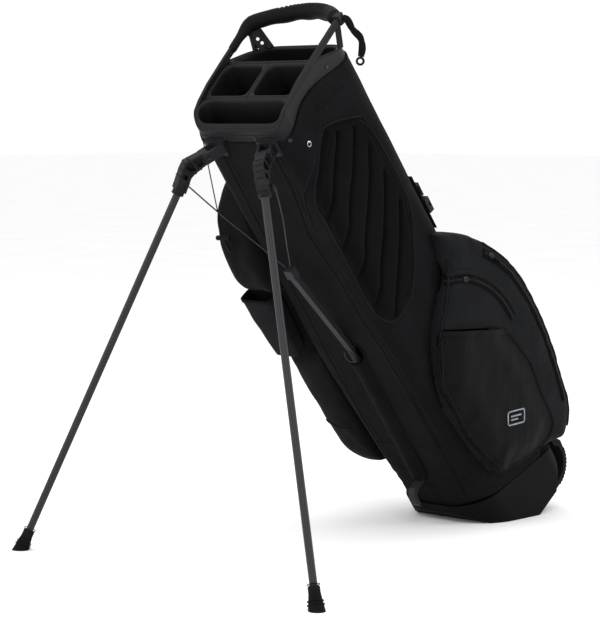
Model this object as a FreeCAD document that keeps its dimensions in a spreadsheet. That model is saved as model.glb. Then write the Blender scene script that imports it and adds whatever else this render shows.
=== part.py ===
import FreeCAD, Part
import math
import os
import Sketcher

# A leaning golf stand bag on its two open legs. World frame in mm: the origin is on the floor
# at the centre of the sole, +Z is up, the legs reach towards -X and the near flank faces -Y.
# Most pieces are drawn in the bag's own frame, whose Z runs up the tube of the bag, whose -X
# is the front (the leg side) and which leans back by the lean angle.

V = FreeCAD.Vector
doc = FreeCAD.newDocument("StandBag")

# ---------------------------------------------------------------- driving dimensions
DIMENSIONS = (
    ("lean", 36.76, "angle between the bag and the vertical, degrees"),
    ("base_x", -20.56, "bag frame origin, world x"),
    ("base_z", 38.52, "bag frame origin, world z"),
    ("half_width", 96, "tube of the bag, half width"),
    ("front_depth", 91, "tube of the bag, axis to front at the base"),
    ("rear_depth", 108, "tube of the bag, axis to rear at the base"),
    ("front_corner", 24, "front corner radius"),
    ("rear_corner", 38, "rear corner radius"),
    ("base_half", 86, "tube of the bag, half width at the base"),
    ("base_corner", 70, "front corner radius at the base"),
    ("waist", 330, "level under which the tube narrows and rounds towards the base"),
    ("shell_wall", 3.5, "padded fabric wall"),
    ("cuff_front", 97, "moulded top, axis to front"),
    ("cuff_rear", 99, "moulded top, axis to rear"),
    ("cuff_half", 95, "moulded top, half width"),
    ("cuff_wall", 5, "moulded top, wall"),
    ("cuff_low", 775, "lower edge of the spigot inside the tube"),
    ("rim_front", 826, "height of the rim at the front"),
    ("rim_corner", 849, "height of the rim where the arms start"),
    ("rim_peak", 867.7, "height of the rim at the rear cross bar"),
    ("rim_rear", 841, "height of the rim at the rear"),
    ("bar_width", 8, "width of the cross bars in the top"),
    ("panel_wall", 3, "full length divider panels"),
    ("tub_front", 99, "base tub, axis to front"),
    ("tub_rear", 130, "base tub, axis to rear"),
    ("tub_half", 91, "base tub, half width"),
    ("tub_corner", 62, "base tub, front corner radius"),
    ("tub_wall", 5, "base tub, wall"),
    ("sole_level", -63, "rear half of the bottom, along the axis"),
    ("plate_half", 66, "hinged foot plate, half width"),
    ("plate_wall", 4, "hinged foot plate, thickness"),
    ("pin_radius", 2.5, "hinge pins"),
    ("pin_play", 0.06, "radial play of a part turning on a pin"),
    ("pivot_x", -121.9, "leg pivot in the bag frame"),
    ("pivot_y", 61.2, "leg pivot off the middle plane"),
    ("pivot_z", 799.6, "leg pivot in the bag frame"),
    ("swing_out", 27.0, "angle between a leg's swing plane and the middle plane, degrees"),
    ("leg_angle", 53.0, "angle between a leg tube and the bag, degrees"),
    ("leg_length", 607, "leg tube and foot, socket to floor"),
    ("leg_radius", 5.7, "leg tube, outer radius"),
    ("leg_wall", 1.2, "leg tube, wall"),
    ("bracket_half", 8, "leg bracket, half thickness"),
    ("rod_half", 6, "actuator rod, half width"),
    ("wire_radius", 1.1, "spring wire radius"),
    ("grip_radius", 12.5, "carrying grip radius"),
    ("core_radius", 5, "bar inside the grip"),
    ("arm_width", 5.5, "handle arm width"),
    ("arm_height", 9.5, "handle arm height"),
    ("tether_width", 12, "rubber tether width"),
    ("tether_wall", 2.5, "rubber tether thickness"),
    ("eyelet_radius", 3.2, "hole in the tether"),
    ("pad_wall", 9, "hip pad thickness"),
    ("ball_near", -120, "near face of the ball pocket"),
    ("ball_far", 70, "far end of the ball pocket"),
    ("apparel_far", 172, "outer face of the apparel pocket"),
    ("zip_width", 8, "zip tape width"),
    ("zip_wall", 1.2, "zip tape thickness"),
    ("valuables_radius", 162, "radius of the curved zip"),
    ("channel_half", 14, "fabric channel over the rod, half width"),
)
sheet = doc.addObject("Spreadsheet::Sheet", "sizes")
for row, (alias, value, note) in enumerate(DIMENSIONS, start=1):
    sheet.set(f"A{row}", note)
    sheet.set(f"B{row}", str(value))
    sheet.setAlias(f"B{row}", alias)
doc.recompute()


def size(alias):
    """The number in the cell with this alias."""
    return float(sheet.get(alias))


LEAN = size("lean")
BAG = FreeCAD.Placement(V(size("base_x"), 0, size("base_z")), FreeCAD.Rotation(V(0, 1, 0), -LEAN))
WORLD = FreeCAD.Placement()
NEAR, FAR = -1, 1
pieces = []


# ---------------------------------------------------------------- helpers
def bound(obj, **expressions):
    """Ties properties to cells: numbers are set as they are, text is an expression."""
    for name, value in expressions.items():
        if isinstance(value, str):
            obj.setExpression(name, value)
        else:
            setattr(obj, name, value)
    return obj


def placed(obj, at=(0, 0, 0), turn=None, frame=BAG):
    """Puts an object at a point of the bag frame, or of another frame."""
    obj.Placement = frame.multiply(FreeCAD.Placement(V(*at), turn or FreeCAD.Rotation()))
    return obj


def box(name, length, width, height, at, turn=None, frame=BAG):
    obj = doc.addObject("Part::Box", name)
    return placed(bound(obj, Length=length, Width=width, Height=height), at, turn, frame)


def cylinder(name, radius, height, at, axis=(0, 0, 1), frame=BAG):
    obj = doc.addObject("Part::Cylinder", name)
    turn = FreeCAD.Rotation(V(0, 0, 1), V(*axis))
    return placed(bound(obj, Radius=radius, Height=height), at, turn, frame)


def cut(name, base, tool):
    obj = doc.addObject("Part::Cut", name)
    obj.Base, obj.Tool = base, tool
    return obj


def common(name, base, tool):
    obj = doc.addObject("Part::Common", name)
    obj.Base, obj.Tool = base, tool
    return obj


def fuse(name, *members):
    obj = doc.addObject("Part::MultiFuse", name)
    obj.Shapes = list(members)
    obj.Refine = True
    return obj


def side_prism(name, outline, y_from, y_to, frame=BAG):
    """An outline in the X-Z plane, pulled along Y."""
    polygon = doc.addObject("Part::Polygon", name + "_outline")
    polygon.Nodes = [V(x, y_from, z) for x, z in outline]
    polygon.Close = True
    placed(polygon, frame=frame)
    prism = doc.addObject("Part::Extrusion", name)
    prism.Base = polygon
    prism.DirMode = "Custom"
    prism.Dir = V(0, 1, 0)
    prism.LengthFwd = y_to - y_from
    prism.Solid = True
    return prism


def feature(name, shape, frame=BAG):
    """A shape made by Part's own functions, for curved outlines and lofts."""
    obj = doc.addObject("Part::Feature", name)
    obj.Shape = shape
    obj.Placement = frame
    return obj


def curve(points, y):
    spline = Part.BSplineCurve()
    spline.interpolate([V(x, y, z) for x, z in points])
    return spline.toShape()


def polyline(points, y):
    return [Part.makeLine(V(a[0], y, a[1]), V(b[0], y, b[1])) for a, b in zip(points, points[1:])]


def piece(obj, name):
    """Marks an object as a sub-part, which is written to its own file."""
    obj.Label = name
    pieces.append(obj)
    return obj


def number(expression):
    """The value of an expression of cells."""
    return float(sheet.evalExpression(expression))


def outline_sketch(body, name, front, rear, half, front_corner, rear_corner, level):
    """A rounded rectangle about the axis, constrained to the cells."""
    a, b, c = number(front), number(rear), number(half)
    p, q = number(front_corner), number(rear_corner)
    sketch = body.newObject("Sketcher::SketchObject", name)
    plane = next(o for o in body.Origin.OriginFeatures if o.Role == "XY_Plane")
    sketch.AttachmentSupport = [(plane, "")]
    sketch.MapMode = "FlatFace"
    sketch.AttachmentOffset = FreeCAD.Placement(V(0, 0, level), FreeCAD.Rotation())

    def line(x1, y1, x2, y2):
        return sketch.addGeometry(Part.LineSegment(V(x1, y1, 0), V(x2, y2, 0)))

    def corner(x, y, radius, start):
        arc = Part.Circle(V(x, y, 0), V(0, 0, 1), radius)
        first = math.radians(start)
        return sketch.addGeometry(Part.ArcOfCircle(arc, first, first + math.pi / 2))

    far = line(b - q, c, -a + p, c)
    corner(-a + p, c - p, p, 90)
    front_line = line(-a, c - p, -a, -c + p)
    corner(-a + p, -c + p, p, 180)
    near = line(-a + p, -c, b - q, -c)
    corner(b - q, -c + q, q, 270)
    rear_line = line(b, -c + q, b, c - q)
    corner(b - q, c - q, q, 0)
    for i in range(8):
        sketch.addConstraint(Sketcher.Constraint("Tangent", i, 2, (i + 1) % 8, 1))
    for i in (far, near):
        sketch.addConstraint(Sketcher.Constraint("Horizontal", i))
    for i in (front_line, rear_line):
        sketch.addConstraint(Sketcher.Constraint("Vertical", i))
    sketch.addConstraint(Sketcher.Constraint("Equal", 1, 3))
    sketch.addConstraint(Sketcher.Constraint("Equal", 5, 7))
    for label, constraint, value in (
        ("front_r", Sketcher.Constraint("Radius", 1, p), front_corner),
        ("rear_r", Sketcher.Constraint("Radius", 7, q), rear_corner),
        ("front", Sketcher.Constraint("DistanceX", front_line, 1, -1, 1, a), front),
        ("rear", Sketcher.Constraint("DistanceX", -1, 1, rear_line, 1, b), rear),
        ("far", Sketcher.Constraint("DistanceY", -1, 1, far, 1, c), half),
        ("near", Sketcher.Constraint("DistanceY", near, 1, -1, 1, c), half),
    ):
        index = sketch.addConstraint(constraint)
        sketch.renameConstraint(index, label)
        sketch.setExpression(f"Constraints.{label}", value)
    return sketch


def outline_body(name, front, rear, half, front_corner, rear_corner, low, high, wall=None):
    """A pad of the rounded outline from low to high, hollowed right through if it has a wall."""
    body = doc.addObject("PartDesign::Body", name)
    args = (front_corner, rear_corner, low)
    pad = body.newObject("PartDesign::Pad", name + "_pad")
    pad.Profile = outline_sketch(body, name + "_outer", front, rear, half, *args)
    pad.Length = high - low
    body.Tip = pad
    doc.recompute()
    if wall:
        solid = body.Shape.Volume
        inner = [f"{e} - {wall}" for e in (front, rear, half, front_corner, rear_corner)]
        pocket = body.newObject("PartDesign::Pocket", name + "_pocket")
        pocket.Profile = outline_sketch(body, name + "_inner", *inner, low)
        pocket.Length = high - low + 1
        pocket.Reversed = True
        body.Tip = pocket
        doc.recompute()
        if body.Shape.Volume > 0.5 * solid:
            raise RuntimeError(name + ": the pocket cuts the wrong way")
    body.Placement = BAG
    return body


# ---------------------------------------------------------------- moulded top
RIM = ((-97, size("rim_front")), (-76, size("rim_corner")), (22, size("rim_peak")), (97, size("rim_rear")))
SKIRT = ((-112, 803), (-100, 804), (-83, 815), (-61, 829), (-44, 838), (-5, 843), (33, 838), (60, 834), (112, 832))
CUFF_OUTLINE = ("sizes.cuff_front", "sizes.cuff_rear", "sizes.cuff_half", "sizes.front_corner", "sizes.rear_corner")


def above_rim(name, drop):
    """Everything over the rim's side profile, lowered by drop."""
    rim = [(x, z - drop) for x, z in RIM]
    return side_prism(name, [(-120, 920), (-120, rim[0][1]), *rim, (120, rim[-1][1] - 8), (120, 920)], -120, 120)


def skirt_block(name, raised, over):
    """The space over, or under, the curved lower edge of the moulded skirt."""
    points = [(x, z + raised) for x, z in SKIRT]
    level = 930 if over else 700
    closing = polyline([points[-1], (112, level), (-112, level), points[0]], -120)
    face = Part.Face(Part.Wire([curve(points, -120), *closing]))
    return feature(name, face.extrude(V(0, 240, 0)))


def top_cuff():
    skirt = outline_body("cuff_skirt", *CUFF_OUTLINE, 790, 880, "sizes.cuff_wall")
    skirt = cut("cuff_skirt_trimmed", skirt, skirt_block("under_skirt", 0, False))
    inset = [f"{e} - 4.4" for e in CUFF_OUTLINE]
    spigot = outline_body("cuff_spigot", *inset, size("cuff_low"), 880, "4")
    spigot = cut("cuff_spigot_trimmed", spigot, above_rim("over_spigot", 3))
    ring = fuse("cuff_ring", cut("cuff_skirt_rimmed", skirt, above_rim("over_rim", 0)), spigot)
    return piece(ring, "top_cuff")


INNER_HALF = size("cuff_half") - 8.4
FRONT_BAR, REAR_BAR = -55, 14


def bar_top(x):
    """Height of the cross bars, which follow the rim's slope."""
    slope = (size("rim_peak") - size("rim_corner")) / 98
    return size("rim_corner") + slope * (x + 76) - 2


def top_divider():
    width = "sizes.bar_width"
    span = 2 * INNER_HALF
    wide = size("bar_width")
    front = box("front_bar", width, span, bar_top(FRONT_BAR) - 800, (FRONT_BAR, -INNER_HALF, 800))
    rear = box("rear_bar", width, span, bar_top(REAR_BAR) - 812, (REAR_BAR, -INNER_HALF, 812))
    x1, x2 = FRONT_BAR + wide, REAR_BAR
    centre = side_prism("centre_bar", [(x1, 800), (x2, 800), (x2, bar_top(x2)), (x1, bar_top(x1))], -wide / 2, wide / 2)
    return piece(fuse("bars", front, rear, centre), "top_divider")


def dividers():
    """Three full length fabric panels hang from the bars and end on the floor pad."""
    wall = "sizes.panel_wall"
    half = INNER_HALF - 1
    mid = (size("bar_width") - size("panel_wall")) / 2
    low = 53
    front = box("panel_front", wall, 2 * half, 799.6 - low, (FRONT_BAR + mid, -half, low))
    room = feature("panel_room", tube_solid(size("shell_wall") + 1.2, 40, 830))
    piece(common("panel_front_fitted", front, room), "front_divider")
    rear = box("panel_rear", wall, 2 * half, 811.6 - low, (REAR_BAR + mid, -half, low))
    room = feature("rear_panel_room", tube_solid(size("shell_wall") + 1.2, 40, 830))
    piece(common("panel_rear_fitted", rear, room), "rear_divider")
    x1 = FRONT_BAR + mid + size("panel_wall") + 0.4
    length = REAR_BAR + mid - 0.4 - x1
    thick = size("panel_wall")
    centre = box("panel_centre", length, wall, 799.6 - low, (x1, -thick / 2, low))
    piece(centre, "centre_divider")


# ---------------------------------------------------------------- tube of the bag and base
def outline_wire(front, rear, half, front_corner, rear_corner, level):
    """The rounded outline as a wire, for lofts between two levels."""
    corners = ((-front, half, front_corner), (-front, -half, front_corner), (rear, -half, rear_corner), (rear, half, rear_corner))
    edges, starts, ends = [], [], []
    for i, (x, y, r) in enumerate(corners):
        sx, sy = (1 if x < 0 else -1), (-1 if y > 0 else 1)
        centre = V(x + sx * r, y + sy * r, level)
        first = math.radians(90 + 90 * i)
        at = [centre + V(r * math.cos(first + t), r * math.sin(first + t), 0) for t in (0, math.pi / 4, math.pi / 2)]
        edges.append(Part.Arc(*at).toShape())
        starts.append(at[0])
        ends.append(at[2])
    order = []
    for i in range(4):
        order += [edges[i], Part.makeLine(ends[i], starts[(i + 1) % 4])]
    return Part.Wire(order)


def tube_solid(inset, low=-20, high=850):
    """The tube between two levels: even above the waist, narrowing and rounding towards the base."""
    waist = size("waist")
    wires = []
    for level in [low] + [waist] * (low < waist < high) + [high]:
        share = (level + 20) / 870
        pairs = (("front_depth", "cuff_front"), ("rear_depth", "cuff_rear"), ("half_width", "cuff_half"))
        front, rear, half = (size(a) + share * (size(b) - size(a)) for a, b in pairs)
        under = max(0, waist - level) / (waist + 20)
        half += under * (size("base_half") - half)
        corner = size("front_corner") + under * (size("base_corner") - size("front_corner"))
        wires.append(outline_wire(front - inset, rear - inset, half - inset, corner - inset, size("rear_corner") - inset, level))
    return Part.makeLoft(wires, True, True)


def tub_line(x):
    """Upper edge of the tub, falling from the front to the rear."""
    return 62 - 0.2616 * (x + size("tub_front"))


def body_shell():
    tube = feature("tube", tube_solid(0).cut(tube_solid(size("shell_wall"), -21, 851)))
    below = side_prism("below_shell", [(-130, tub_line(-130)), (150, tub_line(150)), (150, -80), (-130, -80)], -120, 120)
    trimmed = cut("tube_trimmed", tube, skirt_block("over_shell", -0.4, True))
    return piece(cut("tube_on_tub", trimmed, below), "body_shell")


TOE = (-74, 7.2)
RIDGE = (20, size("sole_level"))
HINGE_X, HINGE_Z = 24, 8.5


def base_tub():
    """A moulded tub: the front half of its bottom is bevelled to lie flat on the floor."""
    front, rear, bottom = size("tub_front"), size("tub_rear"), size("sole_level")
    block = outline_body(
        "tub_block", "sizes.tub_front", "sizes.tub_rear", "sizes.tub_half", "sizes.tub_corner", "sizes.rear_corner", -64, 66
    )
    bottom_line = [(-front, 45), TOE, RIDGE, (78, bottom), (rear, -8)]
    profile = side_prism("tub_profile", [(-front, tub_line(-front)), *bottom_line, (rear, tub_line(rear))], -110, 110)
    hollow = outline_body(
        "tub_hollow", "sizes.front_depth - 1", "sizes.rear_depth - 4", "sizes.tub_half - 5", "sizes.tub_corner - 5", "sizes.rear_corner - 5", -60, 80
    )
    inner_line = [(-94, 80), (-94, 50), (-66, 26.4), (43, -55), (76, -55), (100, -28), (106, 80)]
    inner = common("tub_inner", hollow, side_prism("tub_inner_profile", inner_line, -110, 110))
    tub = cut("tub_hollowed", common("tub_solid", block, profile), inner)
    half = size("plate_half") + 2
    recess = box("plate_recess", 92, 2 * half, 12, (-74, -half, -5), frame=WORLD)
    barrel = box("barrel_recess", 17, 2 * half, 20.5, (16, -half, -4.5), frame=WORLD)
    bore = cylinder("sole_pin_bore", "sizes.pin_radius", 2 * half + 16, (HINGE_X, -half - 8, HINGE_Z), (0, 1, 0), WORLD)
    bored = cut("tub_bored", tub, fuse("tub_cuts", recess, barrel, bore))
    rib = box("sole_rib", 70, 8, 9, (-60, -4, 0), frame=WORLD)
    return piece(fuse("tub_with_rib", bored, rib), "base_tub")


def foot_plate():
    """The plate under the bevel, hinged at the ridge: pressing it shut drives the legs out."""
    half = size("plate_half")
    plate = box("plate", 92, "2 * sizes.plate_half", "sizes.plate_wall", (-70, -half, 1), frame=WORLD)
    barrel = cylinder("plate_barrel", 6.3, "2 * sizes.plate_half", (HINGE_X, -half, HINGE_Z), (0, 1, 0), WORLD)
    ribs = [box(f"plate_rib_{i}", 70, 3, 1.2, (-58, y, 5), frame=WORLD) for i, y in enumerate((-45, -15, 15, 42))]
    bore = cylinder("plate_bore", "sizes.pin_radius + sizes.pin_play", 2 * half + 4, (HINGE_X, -half - 2, HINGE_Z), (0, 1, 0), WORLD)
    slot = box("plate_slot", 76, 12, 8, (-63, -6, 0), frame=WORLD)
    piece(cut("plate_bored", fuse("plate_solid", plate, barrel, *ribs), fuse("plate_cuts", bore, slot)), "foot_plate")
    pin = cylinder("sole_pin", "sizes.pin_radius", 2 * half + 18, (HINGE_X, -half - 9, HINGE_Z), (0, 1, 0), WORLD)
    piece(pin, "sole_hinge_pin")


def floor_pad():
    pad = outline_body("pad_block", "66", "sizes.rear_depth - 12", "sizes.tub_half - 13", "36", "30", 40, 52)
    return piece(pad, "floor_pad")


def body_stays():
    rods = [cylinder(f"stay_{i}", 3, 716, (78, side * 72, 54)) for i, side in enumerate((NEAR, FAR))]
    return piece(fuse("stays", *rods), "body_stays")


def grab_handle():
    """A ribbed rubber grab bar round the rear edge of the base, clear of it for the fingers."""
    centre, outer, inner = (103, -28), 46, 37
    ribs = 11
    line = [(62, -63), (64, -68), (84, -73.5)]
    for i in range(2 * ribs + 1):
        angle = math.radians(-90 + 90 * i / (2 * ribs))
        r = outer + (1.2 if i % 2 else -1.2)
        line.append((centre[0] + r * math.cos(angle), centre[1] + r * math.sin(angle)))
    line += [(148.5, -12), (140, 2), (130, 2), (130, -8), (139.4, -18)]
    for i in range(9):
        angle = math.radians(-90 * i / 8)
        line.append((centre[0] + inner * math.cos(angle), centre[1] + inner * math.sin(angle)))
    line.append((78, -63))
    return piece(side_prism("grab_bar", line, -78, 78), "base_grab_handle")


def spine_channel():
    half = size("channel_half")
    cover = box("channel_cover", 13.5, "2 * sizes.channel_half", 253, (-108, -half, 123))
    hollow = box("channel_hollow", 12, "2 * sizes.channel_half - 6", 257, (-105, 3 - half, 121))
    return piece(cut("channel", cover, hollow), "spine_channel")


# ---------------------------------------------------------------- pockets and pads
PAD_OUTLINE = (
    (-26, 781), (-61, 754), (-90, 720), (-112, 692), (-112, 478), (-95, 468), (-71, 447), (-15, 461),
    (34, 521), (62, 592), (54, 731), (44, 749),
)


def hip_pad():
    """The quilted pad on the near flank, wrapped round the front corner."""
    layer = tube_solid(-0.8 - size("pad_wall"), 300, 820).cut(tube_solid(-0.8, 299, 821))
    outline = side_prism("pad_outline", PAD_OUTLINE, -112, -84)
    return piece(common("pad", feature("pad_layer", layer), outline), "hip_pad")


BALL_FRONT = ((66, 507), (55, 463), (16, 414), (-21, 385), (-54, 331), (-69, 282), (-65, 203), (-53, 133), (-38, 87))
BALL_BOTTOM = ((-38, 87), (21, 56), (85, 37), (132, 12))
BALL_REAR = ((132, 12), (150, 27), (172, 58), (186, 104), (201, 180), (205, 250), (201, 308), (184, 371), (154, 427), (110, 475))


def ball_face(y):
    edges = [curve(BALL_FRONT, y), *polyline(BALL_BOTTOM, y), curve(BALL_REAR, y)]
    return Part.Face(Part.Wire([*edges, *polyline([BALL_REAR[-1], BALL_FRONT[0]], y)]))


def ball_pocket():
    near, far = size("ball_near"), size("ball_far")
    block = feature("ball_block", ball_face(near).extrude(V(0, far - near, 0)))
    room = feature("ball_room", tube_solid(-0.8, -40, 850))
    tub_room = side_prism("ball_tub_room", [(-100, 70), (131, 8), (131, -90), (-100, -90)], -92, 92)
    return piece(cut("ball_clear", cut("ball_on_tube", block, room), tub_room), "ball_pocket")


SLIP_OUTER = ((-24, 383), (100, 283), (116, 200), (112, 140), (96, 52), (-36, 92), (-50, 135), (-62, 205), (-66, 284), (-54, 326))
SLIP_INNER = ((-17, 388), (94, 298), (108, 200), (104, 142), (90, 60), (-31, 98), (-43, 138), (-55, 207), (-58, 284), (-46, 324))


def slip_pocket():
    """A flat pouch on the ball pocket's near face, open along its upper edge."""
    face = size("ball_near") - 0.3
    outer = side_prism("slip_outer", SLIP_OUTER, face - 8, face)
    inner = side_prism("slip_inner", SLIP_INNER, face - 6.2, face + 1)
    return piece(cut("slip", outer, inner), "slip_pocket")


ZIP_CENTRE = (-36, 290)


def valuables_zip():
    """A curved zip on the near face; its slider turns about the centre of the curve."""
    face = size("ball_near") - 0.2
    radius = "sizes.valuables_radius"
    tape = []
    for name, grown in (("zip_outer", "+"), ("zip_inner", "-")):
        disc = doc.addObject("Part::Cylinder", name)
        bound(disc, Radius=f"{radius} {grown} sizes.zip_width / 2", Height="sizes.zip_wall", Angle=62)
        turn = FreeCAD.Rotation(V(1, 0, 0), 90).multiply(FreeCAD.Rotation(V(0, 0, 1), -5))
        tape.append(placed(disc, (ZIP_CENTRE[0], face, ZIP_CENTRE[1]), turn))
    piece(cut("curved_tape", *tape), "valuables_zip")
    arm = size("valuables_radius")
    at = math.radians(50)
    x, z = ZIP_CENTRE[0] + arm * math.cos(at), ZIP_CENTRE[1] + arm * math.sin(at)
    turn = FreeCAD.Rotation(V(0, 1, 0), 40)
    level = face - size("zip_wall") - 0.4
    slider = box("zip_body", 12, 3, 8, (x, level - 3, z), turn)
    pull = box("zip_tab", 22, 1.4, 5, (x + 8, level - 4.6, z - 5), turn)
    bridge = box("zip_bridge", 4, 2, 5, (x + 8, level - 4.2, z - 5), turn)
    piece(fuse("zip_slider", slider, pull, bridge), "valuables_zip_slider")


def ball_zip():
    """The main zip follows the rear edge of the near face."""
    face = size("ball_near")
    spline = curve(BALL_REAR[2:], face)
    inner, outer = [], []
    steps = 24
    for i in range(steps + 1):
        at = spline.FirstParameter + (spline.LastParameter - spline.FirstParameter) * i / steps
        point, along = spline.valueAt(at), spline.tangentAt(at)
        across = V(-along.z, 0, along.x)
        outer.append(point + across * 10)
        inner.append(point + across * (10 + size("zip_width")))
    loop = outer + inner[::-1]
    ribbon = Part.Face(Part.makePolygon(loop + loop[:1]))
    piece(feature("main_tape", ribbon.extrude(V(0, -size("zip_wall"), 0))), "ball_pocket_zip")
    level = face - size("zip_wall")
    turn = FreeCAD.Rotation(V(0, 1, 0), 50)
    slider = box("main_slider", 14, 4, 9, (118, level - 4.2, 444), turn)
    pull = box("main_pull", 26, 2, 6, (126, level - 6, 434), turn)
    piece(fuse("main_slider_pull", slider, pull), "ball_zip_pull")


APPAREL = (
    (720, -40, 40, 118), (690, -72, 60, 150), (652, -98, 72, 168), (600, -116, 80, 172), (545, -122, 84, 172),
    (517, -114, 85, 172), (509, -84, 85, 172), (383, -84, 86, 172), (374, -100, 86, 172), (317, -100, 88, 172),
    (212, -96, 90, 172), (160, -92, 90, 172), (136, -86, 84, 166), (118, -74, 70, 150),
)


def pocket_wire(level, front, rear, far):
    near = size("base_half")
    corner = min(18, 0.45 * (far - near))
    edges = []
    ring = [(front, near), (rear, near), (rear - corner, far), (front + corner, far)]
    points = [V(*ring[0], level), V(*ring[1], level), V(rear, far - corner, level), V(*ring[2], level), V(*ring[3], level), V(front, far - corner, level)]
    for a, b in zip(points, points[1:] + points[:1]):
        edges.append(Part.makeLine(a, b))
    return Part.Wire(edges)


def apparel_pocket():
    """The full length pocket on the far flank, with a hollow left for the bottle sleeve."""
    wires = [pocket_wire(level, front, rear, far) for level, front, rear, far in APPAREL]
    pocket = feature("apparel", Part.makeLoft(wires, True, True))
    return piece(cut("apparel_on_tube", pocket, feature("apparel_room", tube_solid(-0.8, -40, 850))), "apparel_pocket")


def bottle_sleeve():
    outer = box("sleeve_outer", 34.5, 69, 120, (-119, 102, 386))
    inner = box("sleeve_inner", 29.5, 63, 120, (-116.5, 105, 390))
    return piece(cut("sleeve", outer, inner), "bottle_sleeve")


def apparel_zip():
    far = size("apparel_far")
    tape = box("apparel_tape", "sizes.zip_width", "sizes.zip_wall", 370, (-4, far + 0.1, 222))
    piece(tape, "apparel_zip")
    level = far + 0.5 + size("zip_wall")
    slider = box("apparel_slider", 9, 3.5, 13, (-4.5, level, 578))
    pull = box("apparel_pull", 6, 1.6, 26, (-3, level + 3.2, 556))
    piece(fuse("apparel_slider_pull", slider, pull), "apparel_zip_slider")


def small_trim():
    loop = box("loop_outer", 12, 8, 24, (102.6, -76, 545))
    piece(cut("loop", loop, box("loop_inner", 7, 12, 16, (104.8, -78, 549))), "strap_loop")
    body = box("buckle_body", 10, 22, 26, (103.3, -84, 517))
    slot = box("buckle_slot", 4, 26, 6, (107.5, -86, 527))
    piece(cut("buckle", body, slot), "strap_buckle")
    piece(box("tab", 12, 18, 20, (173.5, -96, 42), FreeCAD.Rotation(V(0, 1, 0), 22)), "pocket_tab")
    bar = box("toggle_bar", 7, 25, 8, (-122, 114, 632))
    stem = box("toggle_stem", 3, 5, 24, (-121, 124, 609))
    piece(fuse("toggle", bar, stem), "pocket_toggle")
    snaps = [cylinder(f"snap_{i}", 5, 2, (-66, side * 97.4, 781), (0, side, 0)) for i, side in enumerate((NEAR, FAR))]
    piece(fuse("snaps", *snaps), "flank_snaps")
    heads = [cylinder(f"screw_side_{i}", 3.6, 1.8, (33, side * 95.0, 848), (0, side, 0)) for i, side in enumerate((NEAR, FAR))]
    heads += [cylinder(f"screw_front_{i}", 3.6, 1.8, (-97, side * 30, 814), (-1, 0, 0)) for i, side in enumerate((NEAR, FAR))]
    piece(fuse("screws", *heads), "cuff_screws")
    top, low = V(-85, 97.5, 800), V(-116, 127, 643)
    cord = cylinder("cord", 0.9, (low - top).Length, tuple(top), tuple(low - top))
    piece(cord, "pocket_cord")


# ---------------------------------------------------------------- handle
def bar_between(name, start, end, width, height):
    """A straight bar of the handle, drawn along its own X axis."""
    along = V(*end) - V(*start)
    pitch = -math.degrees(math.asin(along.z / along.Length))
    yaw = math.degrees(math.atan2(along.y, along.x))
    turn = FreeCAD.Rotation(V(0, 0, 1), yaw).multiply(FreeCAD.Rotation(V(0, 1, 0), pitch))
    corner = V(*start) + turn.multVec(V(0, -width / 2, -height / 2))
    return box(name, along.Length, width, height, tuple(corner), turn)


GRIP_END, GRIP_MID = (101, 84, 887), (138, 0, 878)


def grip_pipe(radius, end_y):
    """A round bar on the bowed line of the grip."""
    start, end = V(GRIP_END[0], -end_y, GRIP_END[2]), V(GRIP_END[0], end_y, GRIP_END[2])
    path = Part.Wire([Part.Arc(start, V(*GRIP_MID), end).toShape()])
    tangent = path.Edges[0].tangentAt(path.Edges[0].FirstParameter)
    ring = Part.Wire([Part.makeCircle(radius, start, tangent)])
    return path.makePipeShell([ring], True, False)


def handle():
    slope = (size("rim_peak") - size("rim_corner")) / 98
    width, height = size("arm_width"), size("arm_height")

    def on_rim(x, raised=0.0):
        return (x, size("rim_corner") + slope * (x + 76) + raised)

    members = [feature("grip_core", grip_pipe(size("core_radius"), 86))]
    arm = [on_rim(-76), on_rim(106), on_rim(106, height), on_rim(22, height), on_rim(-30, height - 1), on_rim(-60, height / 2)]
    for side, label in ((NEAR, "near"), (FAR, "far")):
        low = side * (size("cuff_half") - width / 2) - width / 2
        members.append(side_prism(f"{label}_arm", arm, low, low + width))
        members.append(bar_between(f"{label}_post", (81, side * 88, 848.5), (94, side * 91, 884), 6, 7))
        members.append(box(f"{label}_end", 12, 12, 16, (95, side * 91 - 6, 878)))
    web = [V(104, 82, 882), V(97, 62, 838), V(80, 73, 836)]
    web.append(web[0] + (web[2] - web[1]) * 1.12)
    through = (web[1] - web[0]).cross(web[3] - web[0]).normalize()
    plate = Part.Face(Part.makePolygon(web + web[:1])).extrude(through * 5)
    for spot in (web[0] * 0.42 + web[2] * 0.58, web[1] * 0.4 + web[3] * 0.6):
        plate = plate.cut(Part.makeCylinder(2.6, 30, spot - through * 15, through))
    members.append(feature("far_web", plate))
    knob = web[1] * 0.7 + web[2] * 0.3 + V(0, 2, 12) - through * 3
    members.append(feature("web_knob", Part.makeCylinder(4.5, 12, knob, through)))
    frame = fuse("handle_bars", *members)
    piece(cut("handle_frame_trimmed", frame, below_rim()), "handle_frame")
    grip = grip_pipe(size("grip_radius"), 84).cut(grip_pipe(size("core_radius"), 87))
    piece(feature("grip", grip), "handle_grip")


def below_rim():
    """The moulded top's own space under the rim, which the handle's feet stop at."""
    rim = [(-110, RIM[0][1]), *RIM, (125, 831)]
    return side_prism("under_rim", [*rim, (125, 780), (-110, 780)], -100, 100)


TETHER = ((1, 3), (8, 1), (18, -13), (31, -25), (34, -39), (30, -60))
TETHER_START = BAG.multVec(V(104, -97.8, 889))
SIDEWAYS = V(0.6846, -0.7289, 0)


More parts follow.
